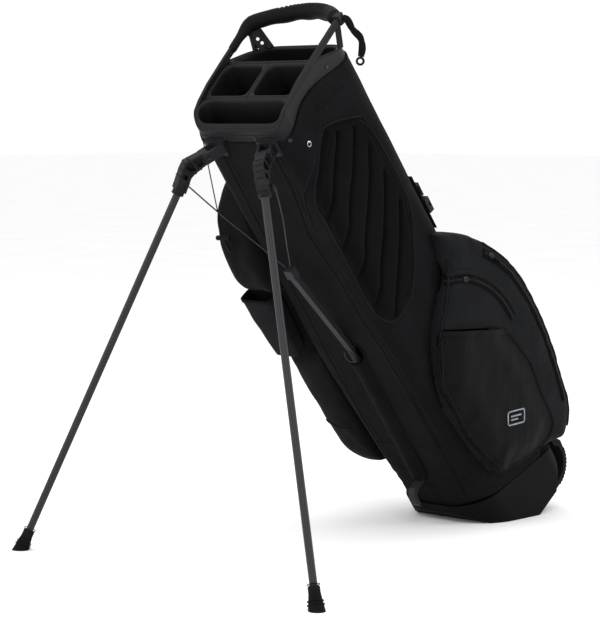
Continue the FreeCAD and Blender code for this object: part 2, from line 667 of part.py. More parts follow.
def tether():
    """A flat rubber tether from the near end of the handle, with an eyelet in its end."""
    flat = V(-SIDEWAYS.y, SIDEWAYS.x, 0)
    half, thick = size("tether_width") / 2, size("tether_wall")
    at = [TETHER_START + SIDEWAYS * a + V(0, 0, b) for a, b in TETHER]
    members = []
    for i, (a, b) in enumerate(zip(at, at[1:])):
        along = (b - a).normalize()
        across = flat.cross(along)
        turn = FreeCAD.Rotation(along, across, flat, "XYZ")
        corner = a - across * half - flat * (thick / 2)
        length = a.distanceToPoint(b)
        members.append(box(f"tether_run_{i}", length, "sizes.tether_width", "sizes.tether_wall", tuple(corner), turn, WORLD))
        end = tuple(b - flat * (thick / 2))
        members.append(cylinder(f"tether_knee_{i}", "sizes.tether_width / 2", "sizes.tether_wall", end, tuple(flat), WORLD))
    hole = cylinder("eyelet", "sizes.eyelet_radius", 12, tuple(at[-1] - flat * 6), tuple(flat), WORLD)
    piece(cut("tether_holed", fuse("tether_strap", *members), hole), "handle_tether")


# ---------------------------------------------------------------- legs
def leg_frame(side):
    """Origin at the leg's pivot, X outwards in the swing plane, Y up the bag, Z along the pivot."""
    swing = math.radians(size("swing_out"))
    out = V(-math.cos(swing), side * math.sin(swing), 0)
    up = V(0, 0, 1)
    turn = FreeCAD.Rotation(out, up, out.cross(up), "XYZ")
    return BAG.multiply(FreeCAD.Placement(V(size("pivot_x"), side * size("pivot_y"), size("pivot_z")), turn))


TUBE_TOP = (64.2, -25.4)
BRACKET = ((-5, 8.5), (8, 10.5), (33, 13), (43, 6), (57, -7), (66, -15), (56, -31), (46, -22), (37, -14), (28, -11.5), (8, -9.5), (-5, -8.5), (-9, 0))
WINDOWS = (((10, 6), (22, 8.5), (20, -6.5), (10, -5.5)), ((26, 8.6), (32, 8.8), (38, 4), (32, -6.5), (25, -7)), ((42, 0.5), (50, -7), (46, -14), (39, -8)))


def flat_plate(name, outline, half, frame):
    """An outline in the X-Y plane of a frame, pulled both ways along Z."""
    polygon = doc.addObject("Part::Polygon", name + "_outline")
    polygon.Nodes = [V(x, y, -half) for x, y in outline]
    polygon.Close = True
    placed(polygon, frame=frame)
    plate = doc.addObject("Part::Extrusion", name)
    plate.Base = polygon
    plate.DirMode = "Custom"
    plate.Dir = frame.Rotation.multVec(V(0, 0, 1))
    plate.LengthFwd = 2 * half
    plate.Solid = True
    return plate


def leg(side, label):
    frame = leg_frame(side)
    half = size("bracket_half")
    tilt = math.radians(size("leg_angle"))
    down = V(math.sin(tilt), -math.cos(tilt), 0)
    top = V(*TUBE_TOP, 0)
    plate = flat_plate(f"{label}_bracket_plate", BRACKET, half, frame)
    socket = cylinder(f"{label}_socket", 8.8, 25, tuple(top - down * 22), tuple(down), frame)
    across = V(down.y, -down.x, 0)
    ear_at = top - down * 8 + across * 10
    outer_z = half if side == FAR else -half
    ear = box(f"{label}_ear", 10, 9, 5, (ear_at.x - 6, ear_at.y - 1, outer_z - (0 if side == FAR else 5)), frame=frame)
    openings = fuse(f"{label}_windows", *(flat_plate(f"{label}_window_{i}", w, half + 1, frame) for i, w in enumerate(WINDOWS)))
    web = box(f"{label}_web", 80, 60, 5, (-10, -40, -2.5), frame=frame)
    windows = [cut(f"{label}_blind_windows", openings, web)]
    bore = cylinder(f"{label}_tube_bore", "sizes.leg_radius", 26, tuple(top - down * 17), tuple(down), frame)
    pivot = cylinder(f"{label}_pivot_bore", "sizes.pin_radius + sizes.pin_play", 2 * half + 2, (0, 0, -half - 1), frame=frame)
    solid = fuse(f"{label}_bracket_solid", plate, socket, ear)
    holes = fuse(f"{label}_bracket_holes", *windows, bore, pivot)
    piece(cut(f"{label}_bracket", solid, holes), f"{label}_leg_bracket")

    length = size("leg_length")
    start = tuple(top - down * 17)
    outer = cylinder(f"{label}_tube_outer", "sizes.leg_radius", length + 17 - 8, start, tuple(down), frame)
    inner = cylinder(f"{label}_tube_inner", "sizes.leg_radius - sizes.leg_wall", length + 17 - 8, start, tuple(down), frame)
    piece(cut(f"{label}_tube", outer, inner), f"{label}_leg_tube")

    foot = doc.addObject("Part::Cone", f"{label}_foot_cone")
    bound(foot, Radius1=8.6, Radius2=13.6, Height=36)
    turn = FreeCAD.Rotation(V(0, 0, 1), down)
    placed(foot, tuple(top + down * (length - 24)), turn, frame)
    collar = cylinder(f"{label}_foot_collar", 8.6, 10, tuple(top + down * (length - 33)), tuple(down), frame)
    floor = box(f"{label}_floor", 120, 120, 40, (-815, side * 310 - 60, -40), frame=WORLD)
    bore = cylinder(f"{label}_foot_bore", "sizes.leg_radius", length, tuple(down * -8 + top), tuple(down), frame)
    sole_cut = fuse(f"{label}_foot_cuts", floor, bore)
    piece(cut(f"{label}_foot_trimmed", fuse(f"{label}_foot_solid", foot, collar), sole_cut), f"{label}_foot")

    cheeks = []
    for i, z in enumerate((-half - 4.5, half + 0.5)):
        cheeks.append(box(f"{label}_cheek_{i}", 35, 17, 4, (-28, -8, z), frame=frame))
    base = box(f"{label}_mount_base", 7, 38, 25, (-104.3, side * 54.5 - 19, 787))
    trim = box(f"{label}_mount_trim", 30, 80, 60, (-97.3, side * 62 - 40, 770))
    bore = cylinder(f"{label}_mount_bore", "sizes.pin_radius", 40, (0, 0, -20), frame=frame)
    mount = fuse(f"{label}_mount_solid", base, *cheeks)
    piece(cut(f"{label}_mount", mount, fuse(f"{label}_mount_cuts", trim, bore)), f"{label}_leg_mount")
    return cylinder(f"{label}_pin", "sizes.pin_radius", 2 * half + 13, (0, 0, -half - 6.5), frame=frame)


# ---------------------------------------------------------------- actuator
ROD = (
    (-139, 592), (-104.5, 411), (-102.5, 400), (-102.5, 121), (-122, 121), (-129, 117), (-132, 110), (-132, 94), (-127.5, 86),
    (-125, 92), (-125, 106), (-122, 111), (-117, 113), (-95.5, 113), (-95.5, 400), (-128.5, 592),
)
WIRE_FOOT = (-132, 4.0, 594)
EAR = (-156, 92, 770)


def actuator():
    half = size("rod_half")
    rod = side_prism("rod_bar", ROD, -half, half)
    head = box("rod_head", 13, 16, 16, (-138.5, -8, 576))
    piece(fuse("rod_and_head", rod, head), "actuator_rod")
    for side, label in ((NEAR, "near"), (FAR, "far")):
        foot, ear = V(WIRE_FOOT[0], side * WIRE_FOOT[1], WIRE_FOOT[2]), V(EAR[0], side * EAR[1], EAR[2])
        run = ear - foot
        wire = cylinder(f"{label}_wire_run", "sizes.wire_radius", run.Length, tuple(foot), tuple(run))
        piece(wire, f"{label}_wire")


top_cuff()
top_divider()
dividers()
body_shell()
base_tub()
foot_plate()
floor_pad()
body_stays()
grab_handle()
spine_channel()
hip_pad()
ball_pocket()
slip_pocket()
valuables_zip()
ball_zip()
apparel_pocket()
bottle_sleeve()
apparel_zip()
small_trim()
handle()
tether()
piece(fuse("leg_pins", leg(NEAR, "near"), leg(FAR, "far")), "leg_hinge_pins")
actuator()
doc.recompute()

# ---------------------------------------------------------------- checks and files
for obj in doc.Objects:
    if "Invalid" in obj.State or "Error" in obj.State:
        raise RuntimeError(f"{obj.Name}: {obj.State}")
for obj in pieces:
    if obj.Shape.isNull() or not obj.Shape.isValid() or not obj.Shape.Solids:
        raise RuntimeError(f"{obj.Label}: bad shape")
os.makedirs("parts", exist_ok=True)
for obj in pieces:
    obj.Shape.exportStep(f"parts/{obj.Label}.step")
    print(f"{obj.Label:24s} solids {len(obj.Shape.Solids)}  volume {obj.Shape.Volume / 1000:9.1f} cm3")
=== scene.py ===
import math

import bmesh
import bpy
import numpy as np
from mathutils import Matrix, Vector
from mathutils.bvhtree import BVHTree

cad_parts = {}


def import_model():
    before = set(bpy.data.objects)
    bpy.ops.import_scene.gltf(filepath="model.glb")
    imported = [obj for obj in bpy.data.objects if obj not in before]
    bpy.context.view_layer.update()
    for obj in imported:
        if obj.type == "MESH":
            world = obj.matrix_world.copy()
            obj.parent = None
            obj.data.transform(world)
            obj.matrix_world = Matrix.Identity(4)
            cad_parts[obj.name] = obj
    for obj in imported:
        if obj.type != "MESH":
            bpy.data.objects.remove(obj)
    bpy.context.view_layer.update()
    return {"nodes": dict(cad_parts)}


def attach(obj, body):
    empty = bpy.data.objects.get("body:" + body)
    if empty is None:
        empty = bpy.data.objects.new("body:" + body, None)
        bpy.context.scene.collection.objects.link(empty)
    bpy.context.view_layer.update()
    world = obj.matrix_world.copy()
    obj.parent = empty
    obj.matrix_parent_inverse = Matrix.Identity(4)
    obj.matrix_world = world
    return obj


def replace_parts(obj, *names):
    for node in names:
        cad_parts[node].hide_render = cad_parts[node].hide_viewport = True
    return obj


# A golf stand bag on its two open legs. Lengths in the modelling code are in mm in the bag's own
# frame: +Z runs up the tube of the bag, -X is its front (the leg side), -Y its near flank.

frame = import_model()
nodes = frame["nodes"]
scene = bpy.context.scene
scene.view_settings.view_transform = "Standard"

LEAN = math.radians(36.76)
BASE = np.array((-20.56, 0.0, 38.52))
TURN = np.array(((math.cos(LEAN), 0, -math.sin(LEAN)), (0, 1, 0), (math.sin(LEAN), 0, math.cos(LEAN))))
NEAR, FAR = -1, 1


def world(points):
    """Bag frame, mm, to row frame, metres."""
    return (np.asarray(points, float) @ TURN.T + BASE) / 1000


def bag(points):
    """Row frame, metres, to bag frame, mm."""
    return (np.asarray(points, float) * 1000 - BASE) @ TURN


# ---------------------------------------------------------------- camera
camera = bpy.data.objects.new("camera", bpy.data.cameras.new("camera"))
scene.collection.objects.link(camera)
RIGHT, UP, BACK = Vector((0.6846, -0.7289, 0)), Vector((0.0622, 0.0585, 0.9963)), Vector(
    (-0.7262, -0.6821, 0.0855)
)
camera.matrix_world = Matrix((
    (RIGHT.x, UP.x, BACK.x, -2.9035),
    (RIGHT.y, UP.y, BACK.y, -2.2979),
    (RIGHT.z, UP.z, BACK.z, 0.6606),
    (0, 0, 0, 1),
))
camera.data.lens = 128.6
camera.data.sensor_width = 36
scene.camera = camera


# ---------------------------------------------------------------- materials
def node_material(name, metallic=0.0, roughness=0.5, specular=0.5, sheen=0.0):
    material = bpy.data.materials.new(name)
    material.use_nodes = True
    shader = material.node_tree.nodes["Principled BSDF"]
    shader.inputs["Metallic"].default_value = metallic
    shader.inputs["Roughness"].default_value = roughness
    shader.inputs["Specular IOR Level"].default_value = specular
    shader.inputs["Sheen Weight"].default_value = sheen
    shader.inputs["Sheen Roughness"].default_value = 0.5
    return material, material.node_tree, shader


def add(tree, kind, inputs=None, **settings):
    node = tree.nodes.new(kind)
    for key, value in settings.items():
        setattr(node, key, value)
    for key, value in (inputs or {}).items():
        if isinstance(value, bpy.types.NodeSocket):
            tree.links.new(value, node.inputs[key])
        else:
            node.inputs[key].default_value = value
    return node


def bag_coordinates(tree):
    place = add(tree, "ShaderNodeTexCoord")
    return add(tree, "ShaderNodeMapping", {0: place.outputs["Object"], "Rotation": (0, LEAN, 0)}).outputs[0]


def tint(tree, shader, where, low, high, size):
    """Base colour that drifts between two tones."""
    noise = add(
        tree, "ShaderNodeTexNoise", {"Vector": where, "Scale": size, "Detail": 4.0, "Roughness": 0.6}
    )
    ramp = add(tree, "ShaderNodeValToRGB", {"Fac": noise.outputs["Fac"]})
    ramp.color_ramp.elements[0].position, ramp.color_ramp.elements[1].position = 0.35, 0.68
    ramp.color_ramp.elements[0].color, ramp.color_ramp.elements[1].color = (*low, 1), (*high, 1)
    tree.links.new(ramp.outputs[0], shader.inputs["Base Color"])
    return ramp


def roughen(tree, shader, where, low, high, size):
    noise = add(tree, "ShaderNodeTexNoise", {"Vector": where, "Scale": size, "Detail": 5.0})
    spread = add(tree, "ShaderNodeMapRange", {"Value": noise.outputs["Fac"], "To Min": low, "To Max": high})
    tree.links.new(spread.outputs[0], shader.inputs["Roughness"])


def bump(tree, shader, heights, distance):
    """Adds up (socket, weight) heights into one bump."""
    total = None
    for socket, weight in heights:
        part = add(tree, "ShaderNodeMath", {0: socket, 1: weight}, operation="MULTIPLY").outputs[0]
        total = part if total is None else add(
            tree, "ShaderNodeMath", {0: total, 1: part}, operation="ADD"
        ).outputs[0]
    node = add(tree, "ShaderNodeBump", {"Height": total, "Distance": distance, "Strength": 1.0})
    tree.links.new(node.outputs[0], shader.inputs["Normal"])


def bands(tree, where, period, direction):
    """A thread of the weave: bands of this period, in metres."""
    scale = 2 * math.pi / (20 * period)
    return add(
        tree, "ShaderNodeTexWave", {"Vector": where, "Scale": scale}, bands_direction=direction
    ).outputs["Fac"]


def grey(value):
    """A grey with a slightly cool cast."""
    return (value * 0.95, value, value * 1.12)


def fabric(name, tone, period=0.0016, roughness=0.8, sheen=0.01, specular=0.04, depth=0.00045):
    """Plain weave with soft creases and a slow drift of tone."""
    material, tree, shader = node_material(name, roughness=roughness, specular=specular, sheen=sheen)
    where = bag_coordinates(tree)
    tint(tree, shader, where, grey(tone * 0.82), grey(tone * 1.22), 14)
    across = add(
        tree, "ShaderNodeMath", {0: bands(tree, where, period, "X"), 1: bands(tree, where, period, "Y")},
        operation="MULTIPLY"
    )
    weft = add(
        tree, "ShaderNodeMath", {0: across.outputs[0], 1: bands(tree, where, period, "Z")},
        operation="MULTIPLY"
    )
    creases = add(
        tree, "ShaderNodeTexNoise",
        {"Vector": where, "Scale": 34, "Detail": 6.0, "Roughness": 0.62, "Distortion": 0.6}
    )
    bump(tree, shader, [(weft.outputs[0], 0.5), (creases.outputs["Fac"], 2.2)], depth)
    roughen(tree, shader, where, roughness - 0.08, min(1.0, roughness + 0.1), 60)
    return material


def moulding(name, tone, roughness=0.5, grain=900, depth=0.00012, specular=0.13):
    """Moulded plastic with a fine spark-eroded grain; its high spots are lightened, partly as rubbed wear and
    partly as a painted highlight.
    """
    material, tree, shader = node_material(name, roughness=roughness, specular=specular)
    where = bag_coordinates(tree)
    base = tint(tree, shader, where, grey(tone * 0.85), grey(tone * 1.15), 22)
    # Convex edges are lightened by pointiness: partly rubbed wear, partly a painted highlight along the
    # edges.
    geometry = add(tree, "ShaderNodeNewGeometry")
    rub_and_highlight = add(
        tree, "ShaderNodeMapRange",
        {"Value": geometry.outputs["Pointiness"], "From Min": 0.52, "From Max": 0.62}
    )
    worn_and_highlit = add(tree, "ShaderNodeMix", {"Factor": rub_and_highlight.outputs[0]}, data_type="RGBA")
    tree.links.new(base.outputs[0], worn_and_highlit.inputs[6])
    worn_and_highlit.inputs[7].default_value = (*grey(tone * 2.0), 1)
    tree.links.new(worn_and_highlit.outputs[2], shader.inputs["Base Color"])
    pits = add(tree, "ShaderNodeTexNoise", {"Vector": where, "Scale": grain, "Detail": 2.0})
    wave = add(tree, "ShaderNodeTexNoise", {"Vector": where, "Scale": 40, "Detail": 3.0})
    bump(tree, shader, [(pits.outputs["Fac"], 1.0), (wave.outputs["Fac"], 0.8)], depth)
    roughen(tree, shader, where, roughness - 0.07, roughness + 0.1, 120)
    return material


def carbon(name, tone):
    """Dark woven-look leg tubes: a diagonal twill under a satin lacquer."""
    material, tree, shader = node_material(name, metallic=0.25, roughness=0.38, specular=0.2)
    shader.inputs["Coat Weight"].default_value = 0.08
    shader.inputs["Coat Roughness"].default_value = 0.3
    place = add(tree, "ShaderNodeTexCoord").outputs["Object"]
    left = bands(tree, place, 0.0024, "DIAGONAL")
    flipped = add(tree, "ShaderNodeMapping", {0: place, "Rotation": (0, 0, math.pi / 2)}).outputs[0]
    right = bands(tree, flipped, 0.0024, "DIAGONAL")
    twill = add(tree, "ShaderNodeMath", {0: left, 1: right}, operation="SUBTRACT")
    ramp = add(
        tree, "ShaderNodeValToRGB",
        {"Fac": add(tree, "ShaderNodeMath", {0: twill.outputs[0], 1: 0.5}, operation="ADD").outputs[0]}
    )
    ramp.color_ramp.elements[0].color = (*grey(tone * 0.8), 1)
    ramp.color_ramp.elements[1].color = (*grey(tone * 1.2), 1)
    tree.links.new(ramp.outputs[0], shader.inputs["Base Color"])
    speck = add(tree, "ShaderNodeTexNoise", {"Vector": place, "Scale": 700, "Detail": 2.0})
    bump(tree, shader, [(twill.outputs[0], 0.6), (speck.outputs["Fac"], 0.6)], 0.00012)
    roughen(tree, shader, place, 0.3, 0.48, 150)
    return material


def metal(name, tone, roughness=0.3):
    material, tree, shader = node_material(name, metallic=1.0, roughness=roughness)
    where = bag_coordinates(tree)
    tint(tree, shader, where, grey(tone * 0.8), grey(tone * 1.2), 160)
    scratches = add(tree, "ShaderNodeTexNoise", {"Vector": where, "Scale": 1200, "Detail": 3.0})
    bump(tree, shader, [(scratches.outputs["Fac"], 1.0)], 0.00004)
    roughen(tree, shader, where, roughness - 0.08, roughness + 0.14, 500)
    return material


def webbing(name, tone, period=0.0022):
    """Ribbed woven tape."""
    material, tree, shader = node_material(name, roughness=0.82, specular=0.04, sheen=0.01)
    where = bag_coordinates(tree)
    tint(tree, shader, where, grey(tone * 0.75), grey(tone * 1.3), 90)
    rib = add(
        tree, "ShaderNodeMath",
        {0: bands(tree, where, period, "Z"), 1: bands(tree, where, period, "DIAGONAL")}, operation="ADD"
    )
    bump(tree, shader, [(rib.outputs[0], 1.0)], 0.00035)
    return material


SHELL = fabric("shell_fabric", 0.0042)
PANEL = fabric("pocket_fabric", 0.0064, period=0.0013, roughness=0.72, sheen=0.01, depth=0.00035)
PAD = fabric("pad_fabric", 0.0026, period=0.0021, roughness=0.86, depth=0.0005, specular=0.03)
LINING = fabric("lining", 0.0020, period=0.0018, roughness=0.9, specular=0.02)
FOAM = fabric("foam_felt", 0.006, period=0.003, roughness=0.95)
MOULD = moulding("top_moulding", 0.0052)
BASE_MOULD = moulding("base_moulding", 0.0010, roughness=0.6, grain=600, depth=0.0002, specular=0.06)
RUBBER = moulding("rubber", 0.0042, roughness=0.74, grain=500, depth=0.00025, specular=0.06)
GRIP = moulding("grip_rubber", 0.0031, roughness=0.62, grain=420, depth=0.0003, specular=0.09)
ROD = moulding("rod_plastic", 0.0090, roughness=0.46, specular=0.12)
TUBE = carbon("leg_weave", 0.0165)
STEEL = metal("dark_steel", 0.032, 0.38)
SNAP = metal("snap_steel", 0.45, 0.22)
ZIP = webbing("zip_tape", 0.0022, 0.0011)
STRAP = webbing("webbing", 0.0040)
TEETH = moulding("zip_teeth", 0.0036, roughness=0.4, specular=0.12)
STITCH = webbing("thread", 0.0085, 0.0006)
POUCH = fabric(
    "pouch_fabric", 0.0033, period=0.0011, roughness=0.62, sheen=0.01, specular=0.05, depth=0.00022
)
EMBROIDERY = webbing("embroidery", 0.30, 0.0009)
# A near-black cloth for painted shadow, laid in the slots where only shade falls.
PAINTED_SHADOW = fabric("slot_shadow", 0.0006, roughness=0.95, specular=0.0, sheen=0.0)


# ---------------------------------------------------------------- mesh helpers
def finish_piece(obj, body, material, smooth=True):
    obj.data.materials.clear()
    obj.data.materials.append(material)
    if smooth:
        obj.data.polygons.foreach_set("use_smooth", [True] * len(obj.data.polygons))
    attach(obj, body)
    return obj


def piece(name, shape, material, body="bag", smooth=True, in_bag=True):
    """A mesh piece from (vertices, faces) in the bag frame, or in the row frame."""
    verts, faces = shape
    mesh = bpy.data.meshes.new(name)
    coords = world(verts) if in_bag else np.asarray(verts, float)
    mesh.from_pydata([tuple(c) for c in coords], [], [tuple(int(i) for i in f) for f in faces])
    mesh.validate()
    obj = bpy.data.objects.new(name, mesh)
    scene.collection.objects.link(obj)
    return finish_piece(obj, body, material, smooth)


def modifier(obj, kind, **settings):
    m = obj.modifiers.new(kind.lower(), kind)
    for key, value in settings.items():
        setattr(m, key, value)
    return m


def bake_modifiers(obj):
    """Replaces the mesh with what its modifiers make of it."""
    mesh = bpy.data.meshes.new_from_object(obj.evaluated_get(bpy.context.evaluated_depsgraph_get()))
    old, obj.data = obj.data, mesh
    obj.modifiers.clear()
    bpy.data.meshes.remove(old)
    return obj


def thicken(obj, thickness, offset):
    """Gives a sheet of mesh its thickness, in metres."""
    modifier(obj, "SOLIDIFY", thickness=thickness, offset=offset)
    bake_modifiers(obj)


def subdivide(obj):
    modifier(obj, "SUBSURF", levels=1)
    bake_modifiers(obj)


def grid_faces(rows, columns, closed=False):
    faces = []
    last = columns if closed else columns - 1
    for i in range(rows - 1):
        for j in range(last):
            a, b = i * columns + j, i * columns + (j + 1) % columns
            faces.append((a, b, b + columns, a + columns))
    return faces


def smooth_path(points, count, closed=False):
    """Points evenly along a Catmull-Rom curve through these points."""
    p = np.asarray(points, float)
    ends = (p[-1:], p[:2]) if closed else (2 * p[:1] - p[1:2], 2 * p[-1:] - p[-2:-1])
    q = np.vstack([ends[0], p, ends[1]])
    dense = []
    for i in range(len(q) - 3):
        t = np.linspace(0, 1, 24, endpoint=False)[:, None]
        a, b, c, d = q[i:i + 4]
        dense.append(
            0.5 * (
                2 * b + (c - a) * t + (2 * a - 5 * b + 4 * c - d) * t ** 2
                + (3 * b - a - 3 * c + d) * t ** 3
            )
        )
    dense = np.vstack(dense + ([] if closed else [p[-1:]]))
    if closed:
        dense = np.vstack([dense, dense[:1]])
    length = np.concatenate([[0], np.cumsum(np.linalg.norm(np.diff(dense, axis=0), axis=1))])
    wanted = np.linspace(0, length[-1], count + (1 if closed else 0))
    out = np.stack([np.interp(wanted, length, dense[:, k]) for k in range(dense.shape[1])], axis=1)
    return out[:-1] if closed else out


def sweep(path, section, normal=None, closed=False, scale=None):
    """Vertices and faces of a section (a, b) carried along a path: a along the normal, b across it."""
    path, section = np.asarray(path, float), np.asarray(section, float)
    n, m = len(path), len(section)
    along = np.roll(path, -1, 0) - np.roll(path, 1, 0)
    if not closed:
        along[0], along[-1] = path[1] - path[0], path[-1] - path[-2]
    along /= np.linalg.norm(along, axis=1)[:, None]
    if normal is None:
        normal = np.tile((0.0, 0.3, 1.0), (n, 1))
    normal = np.asarray(normal, float) * np.ones((n, 1))
    normal = normal - (normal * along).sum(1)[:, None] * along
    normal /= np.linalg.norm(normal, axis=1)[:, None]
    side = np.cross(along, normal)
    factor = np.ones(n) if scale is None else np.asarray(scale)
    verts = path[:, None] + factor[:, None, None] * (
        section[None, :, :1] * normal[:, None] + section[None, :, 1:] * side[:, None]
    )
    faces = grid_faces(n + (1 if closed else 0), m, True)
    if closed:
        faces = [tuple(i % (n * m) for i in f) for f in faces]
    else:
        faces += [tuple(range(m))[::-1], tuple(range((n - 1) * m, n * m))]
    return verts.reshape(-1, 3), faces


def circle(radius, count=12, squash=1.0):
    a = np.arange(count) * 2 * math.pi / count
    return np.stack([radius * squash * np.cos(a), radius * np.sin(a)], axis=1)


def slab(width, thick, rounding=0.3):
    """Section of a flat tape: thick along the normal, wide across it."""
    w, t = width / 2, thick / 2
    r = rounding * t
    return np.array(
        [
            (-t, -w + r), (-t, w - r), (-t * 0.5, w), (t * 0.5, w), (t, w - r), (t, -w + r), (t * 0.5, -w),
            (-t * 0.5, -w)
        ]
    )


def join_parts(parts):
    """Several (vertices, faces) as one."""
    verts, faces, count = [], [], 0
    for v, f in parts:
        verts.append(np.asarray(v, float))
        faces += [tuple(i + count for i in face) for face in f]
        count += len(v)
    return np.vstack(verts), faces


def block(centre, axes, sizes):
    """A bevel-free box with its own axes, for teeth and stitches."""
    corners = np.array(
        [(i, j, k) for i in (-1, 1) for j in (-1, 1) for k in (-1, 1)], float
    ) * np.asarray(sizes) / 2
    verts = np.asarray(centre) + corners @ np.asarray(axes)
    return verts, [(0, 1, 3, 2), (4, 6, 7, 5), (0, 4, 5, 1), (2, 3, 7, 6), (0, 2, 6, 4), (1, 5, 7, 3)]


def ripple(points, size, seed, terms=9):
    """Smooth repeatable waviness, about -1 to 1, with features of this size."""
    rng = np.random.default_rng(seed)
    total = np.zeros(len(points))
    for _ in range(terms):
        direction = rng.normal(size=3)
        direction /= np.linalg.norm(direction)
        wave = 2 * math.pi / (size * rng.uniform(0.7, 1.8))
        total += np.sin(points @ direction * wave + rng.uniform(0, 6.28))
    return total / math.sqrt(terms)


def distance_to(u, v, line):
    """Distance in a plane from points (u, v) to a polyline."""
    best = np.full(np.shape(u), 1e9)
    for (a, b), (c, d) in zip(line, line[1:]):
        du, dv = c - a, d - b
        t = np.clip(((u - a) * du + (v - b) * dv) / (du * du + dv * dv), 0, 1)
        best = np.minimum(best, np.hypot(u - a - t * du, v - b - t * dv))
    return best


def inside(u, v, loop):
    """True for the points (u, v) inside a closed polygon."""
    result = np.zeros(np.shape(u), bool)
    for (a, b), (c, d) in zip(loop, loop[1:] + loop[:1]):
        crosses = (b > v) != (d > v)
        with np.errstate(divide="ignore", invalid="ignore"):
            at_u = a + (v - b) * (c - a) / (d - b if d != b else 1e-9)
        result ^= crosses & (u < at_u)
    return result


def used_cells(use):
    """The grid cells whose four corners are in use, row by row."""
    return np.argwhere(use[:-1, :-1] & use[1:, :-1] & use[:-1, 1:] & use[1:, 1:])


def smoothstep(x):
    x = np.clip(x, 0, 1)
    return x * x * (3 - 2 * x)


# ---------------------------------------------------------------- tube of the bag
def outline(level, plain=False):
    """Front, rear and half width of the tube at a level, and its corner radii; it narrows under its waist."""
    k = (level + 20) / 870
    under = 0.0 if plain else np.clip((330 - level) / 350, 0, 1.1)
    half = 96 - k
    return 91 + 6 * k, 108 - 9 * k, half + under * (86 - half), 24 + under * 46, 38


def runs_of(front, rear, half, rf, rr):
    """Lengths of the tube's sides and corners, from the middle of the near flank round by the front."""
    qf, qr = rf * math.pi / 2, rr * math.pi / 2
    return [front - rf, qf, 2 * (half - rf), qf, front + rear - rf - rr, qr, 2 * (half - rr), qr, rear - rr]


def tube_point(t, z, grow=0.0):
    """A point of the tube and its normal, t mm round it from the near flank's middle towards the front."""
    t, z = np.broadcast_arrays(np.asarray(t, float), np.asarray(z, float))
    front, rear, half, rf, rr = (np.broadcast_to(v, t.shape) for v in outline(z))
    runs = runs_of(front, rear, half, rf, rr)
    even = runs_of(*outline(z, True))
    middle, even_middle = sum(runs[:2]) + runs[2] / 2, sum(even[:2]) + even[2] / 2
    t = np.mod(t, sum(even))
    behind = 2 * middle + (t - 2 * even_middle) * (sum(runs) - 2 * middle) / (sum(even) - 2 * even_middle)
    t = np.where(t < 2 * even_middle, t * middle / even_middle, behind)
    x, y, nx, ny = (np.zeros(t.shape) for _ in range(4))
    start = np.zeros(t.shape)
    lines = {
        0: ((0, -1), lambda s: (-s, -half)),
        2: ((-1, 0), lambda s: (-front, -half + rf + s)),
        4: ((0, 1), lambda s: (-front + rf + s, half)),
        6: ((1, 0), lambda s: (rear, half - rr - s)),
        8: ((0, -1), lambda s: (rear - rr - s, -half)),
    }
    arcs = {1: (-1, -1, 270), 3: (-1, 1, 180), 5: (1, 1, 90), 7: (1, -1, 360)}
    for i, run in enumerate(runs):
        here = (t >= start) & (t <= start + run + 1e-9)
        s = t - start
        if i in lines:
            normal, place = lines[i]
            px, py = place(s)
            vx, vy = np.full(t.shape, normal[0], float), np.full(t.shape, normal[1], float)
        else:
            sx, sy, first = arcs[i]
            r = rf if sx < 0 else rr
            cx = -front + rf if sx < 0 else rear - rr
            angle = np.radians(first) - s / r
            vx, vy = np.cos(angle), np.sin(angle)
            px, py = cx + r * vx, sy * (half - r) + r * vy
        x, y, nx, ny = (np.where(here, new, old) for new, old in ((px, x), (py, y), (vx, nx), (vy, ny)))
        start = start + run
    points = np.stack([x + grow * nx, y + grow * ny, z], axis=-1)
    return points, np.stack([nx, ny, np.zeros(t.shape)], axis=-1)


SKIRT = (
    (-112, 803), (-100, 804), (-83, 815), (-61, 829), (-44, 838), (-5, 843), (33, 838), (60, 834),
    (112, 832)
)


def skirt(x):
    """Lower edge of the moulded top, over which no shell fabric reaches."""
    path = smooth_path([(a, b, 0) for a, b in SKIRT], 120)
    return np.interp(x, path[:, 0], path[:, 1])


def tub_edge(x):
    return 62 - 0.2616 * (x + 99)


PAD_LOOP = [
    (26, 781), (61, 754), (86, 724), (99, 690), (98, 650), (96, 500), (92, 470), (71, 447), (15, 461),
    (-34, 521), (-62, 592), (-54, 731), (-44, 749)
]
GROOVE = ((-40, 830), (-10, 786), (15, 756), (56, 713), (89, 668), (104, 630))
BORDER = [
    (14, 806), (27, 792), (59, 764), (97, 729), (119, 690), (128, 620), (124, 540), (117, 470), (104, 420),
    (99, 350), (97, 260), (94, 200)
]


def seams():
    """Seam lines of the shell, as (t, z) lines round and up the tube."""
    near_front = [
        (126, 800), (126, 720), (142, 636), (126, 540), (123, 460), (112, 400), (106, 330), (102, 200),
        (100, 80)
    ]
    far_front = [(232, 800), (238, 600), (240, 200), (240, 70)]
    boot = [(-60, 200), (60, 200), (110, 195), (180, 193), (260, 193), (360, 190), (500, 185), (670, 200)]
    return [
        near_front, far_front, boot, [(360, 200), (360, 820)], [(-101, 470), (-100, 600), (-97, 815)],
        [(-44, 806), (0, 812), (14, 806)], BORDER
    ]


def perimeter(z):
    return sum(runs_of(*outline(z, True)))


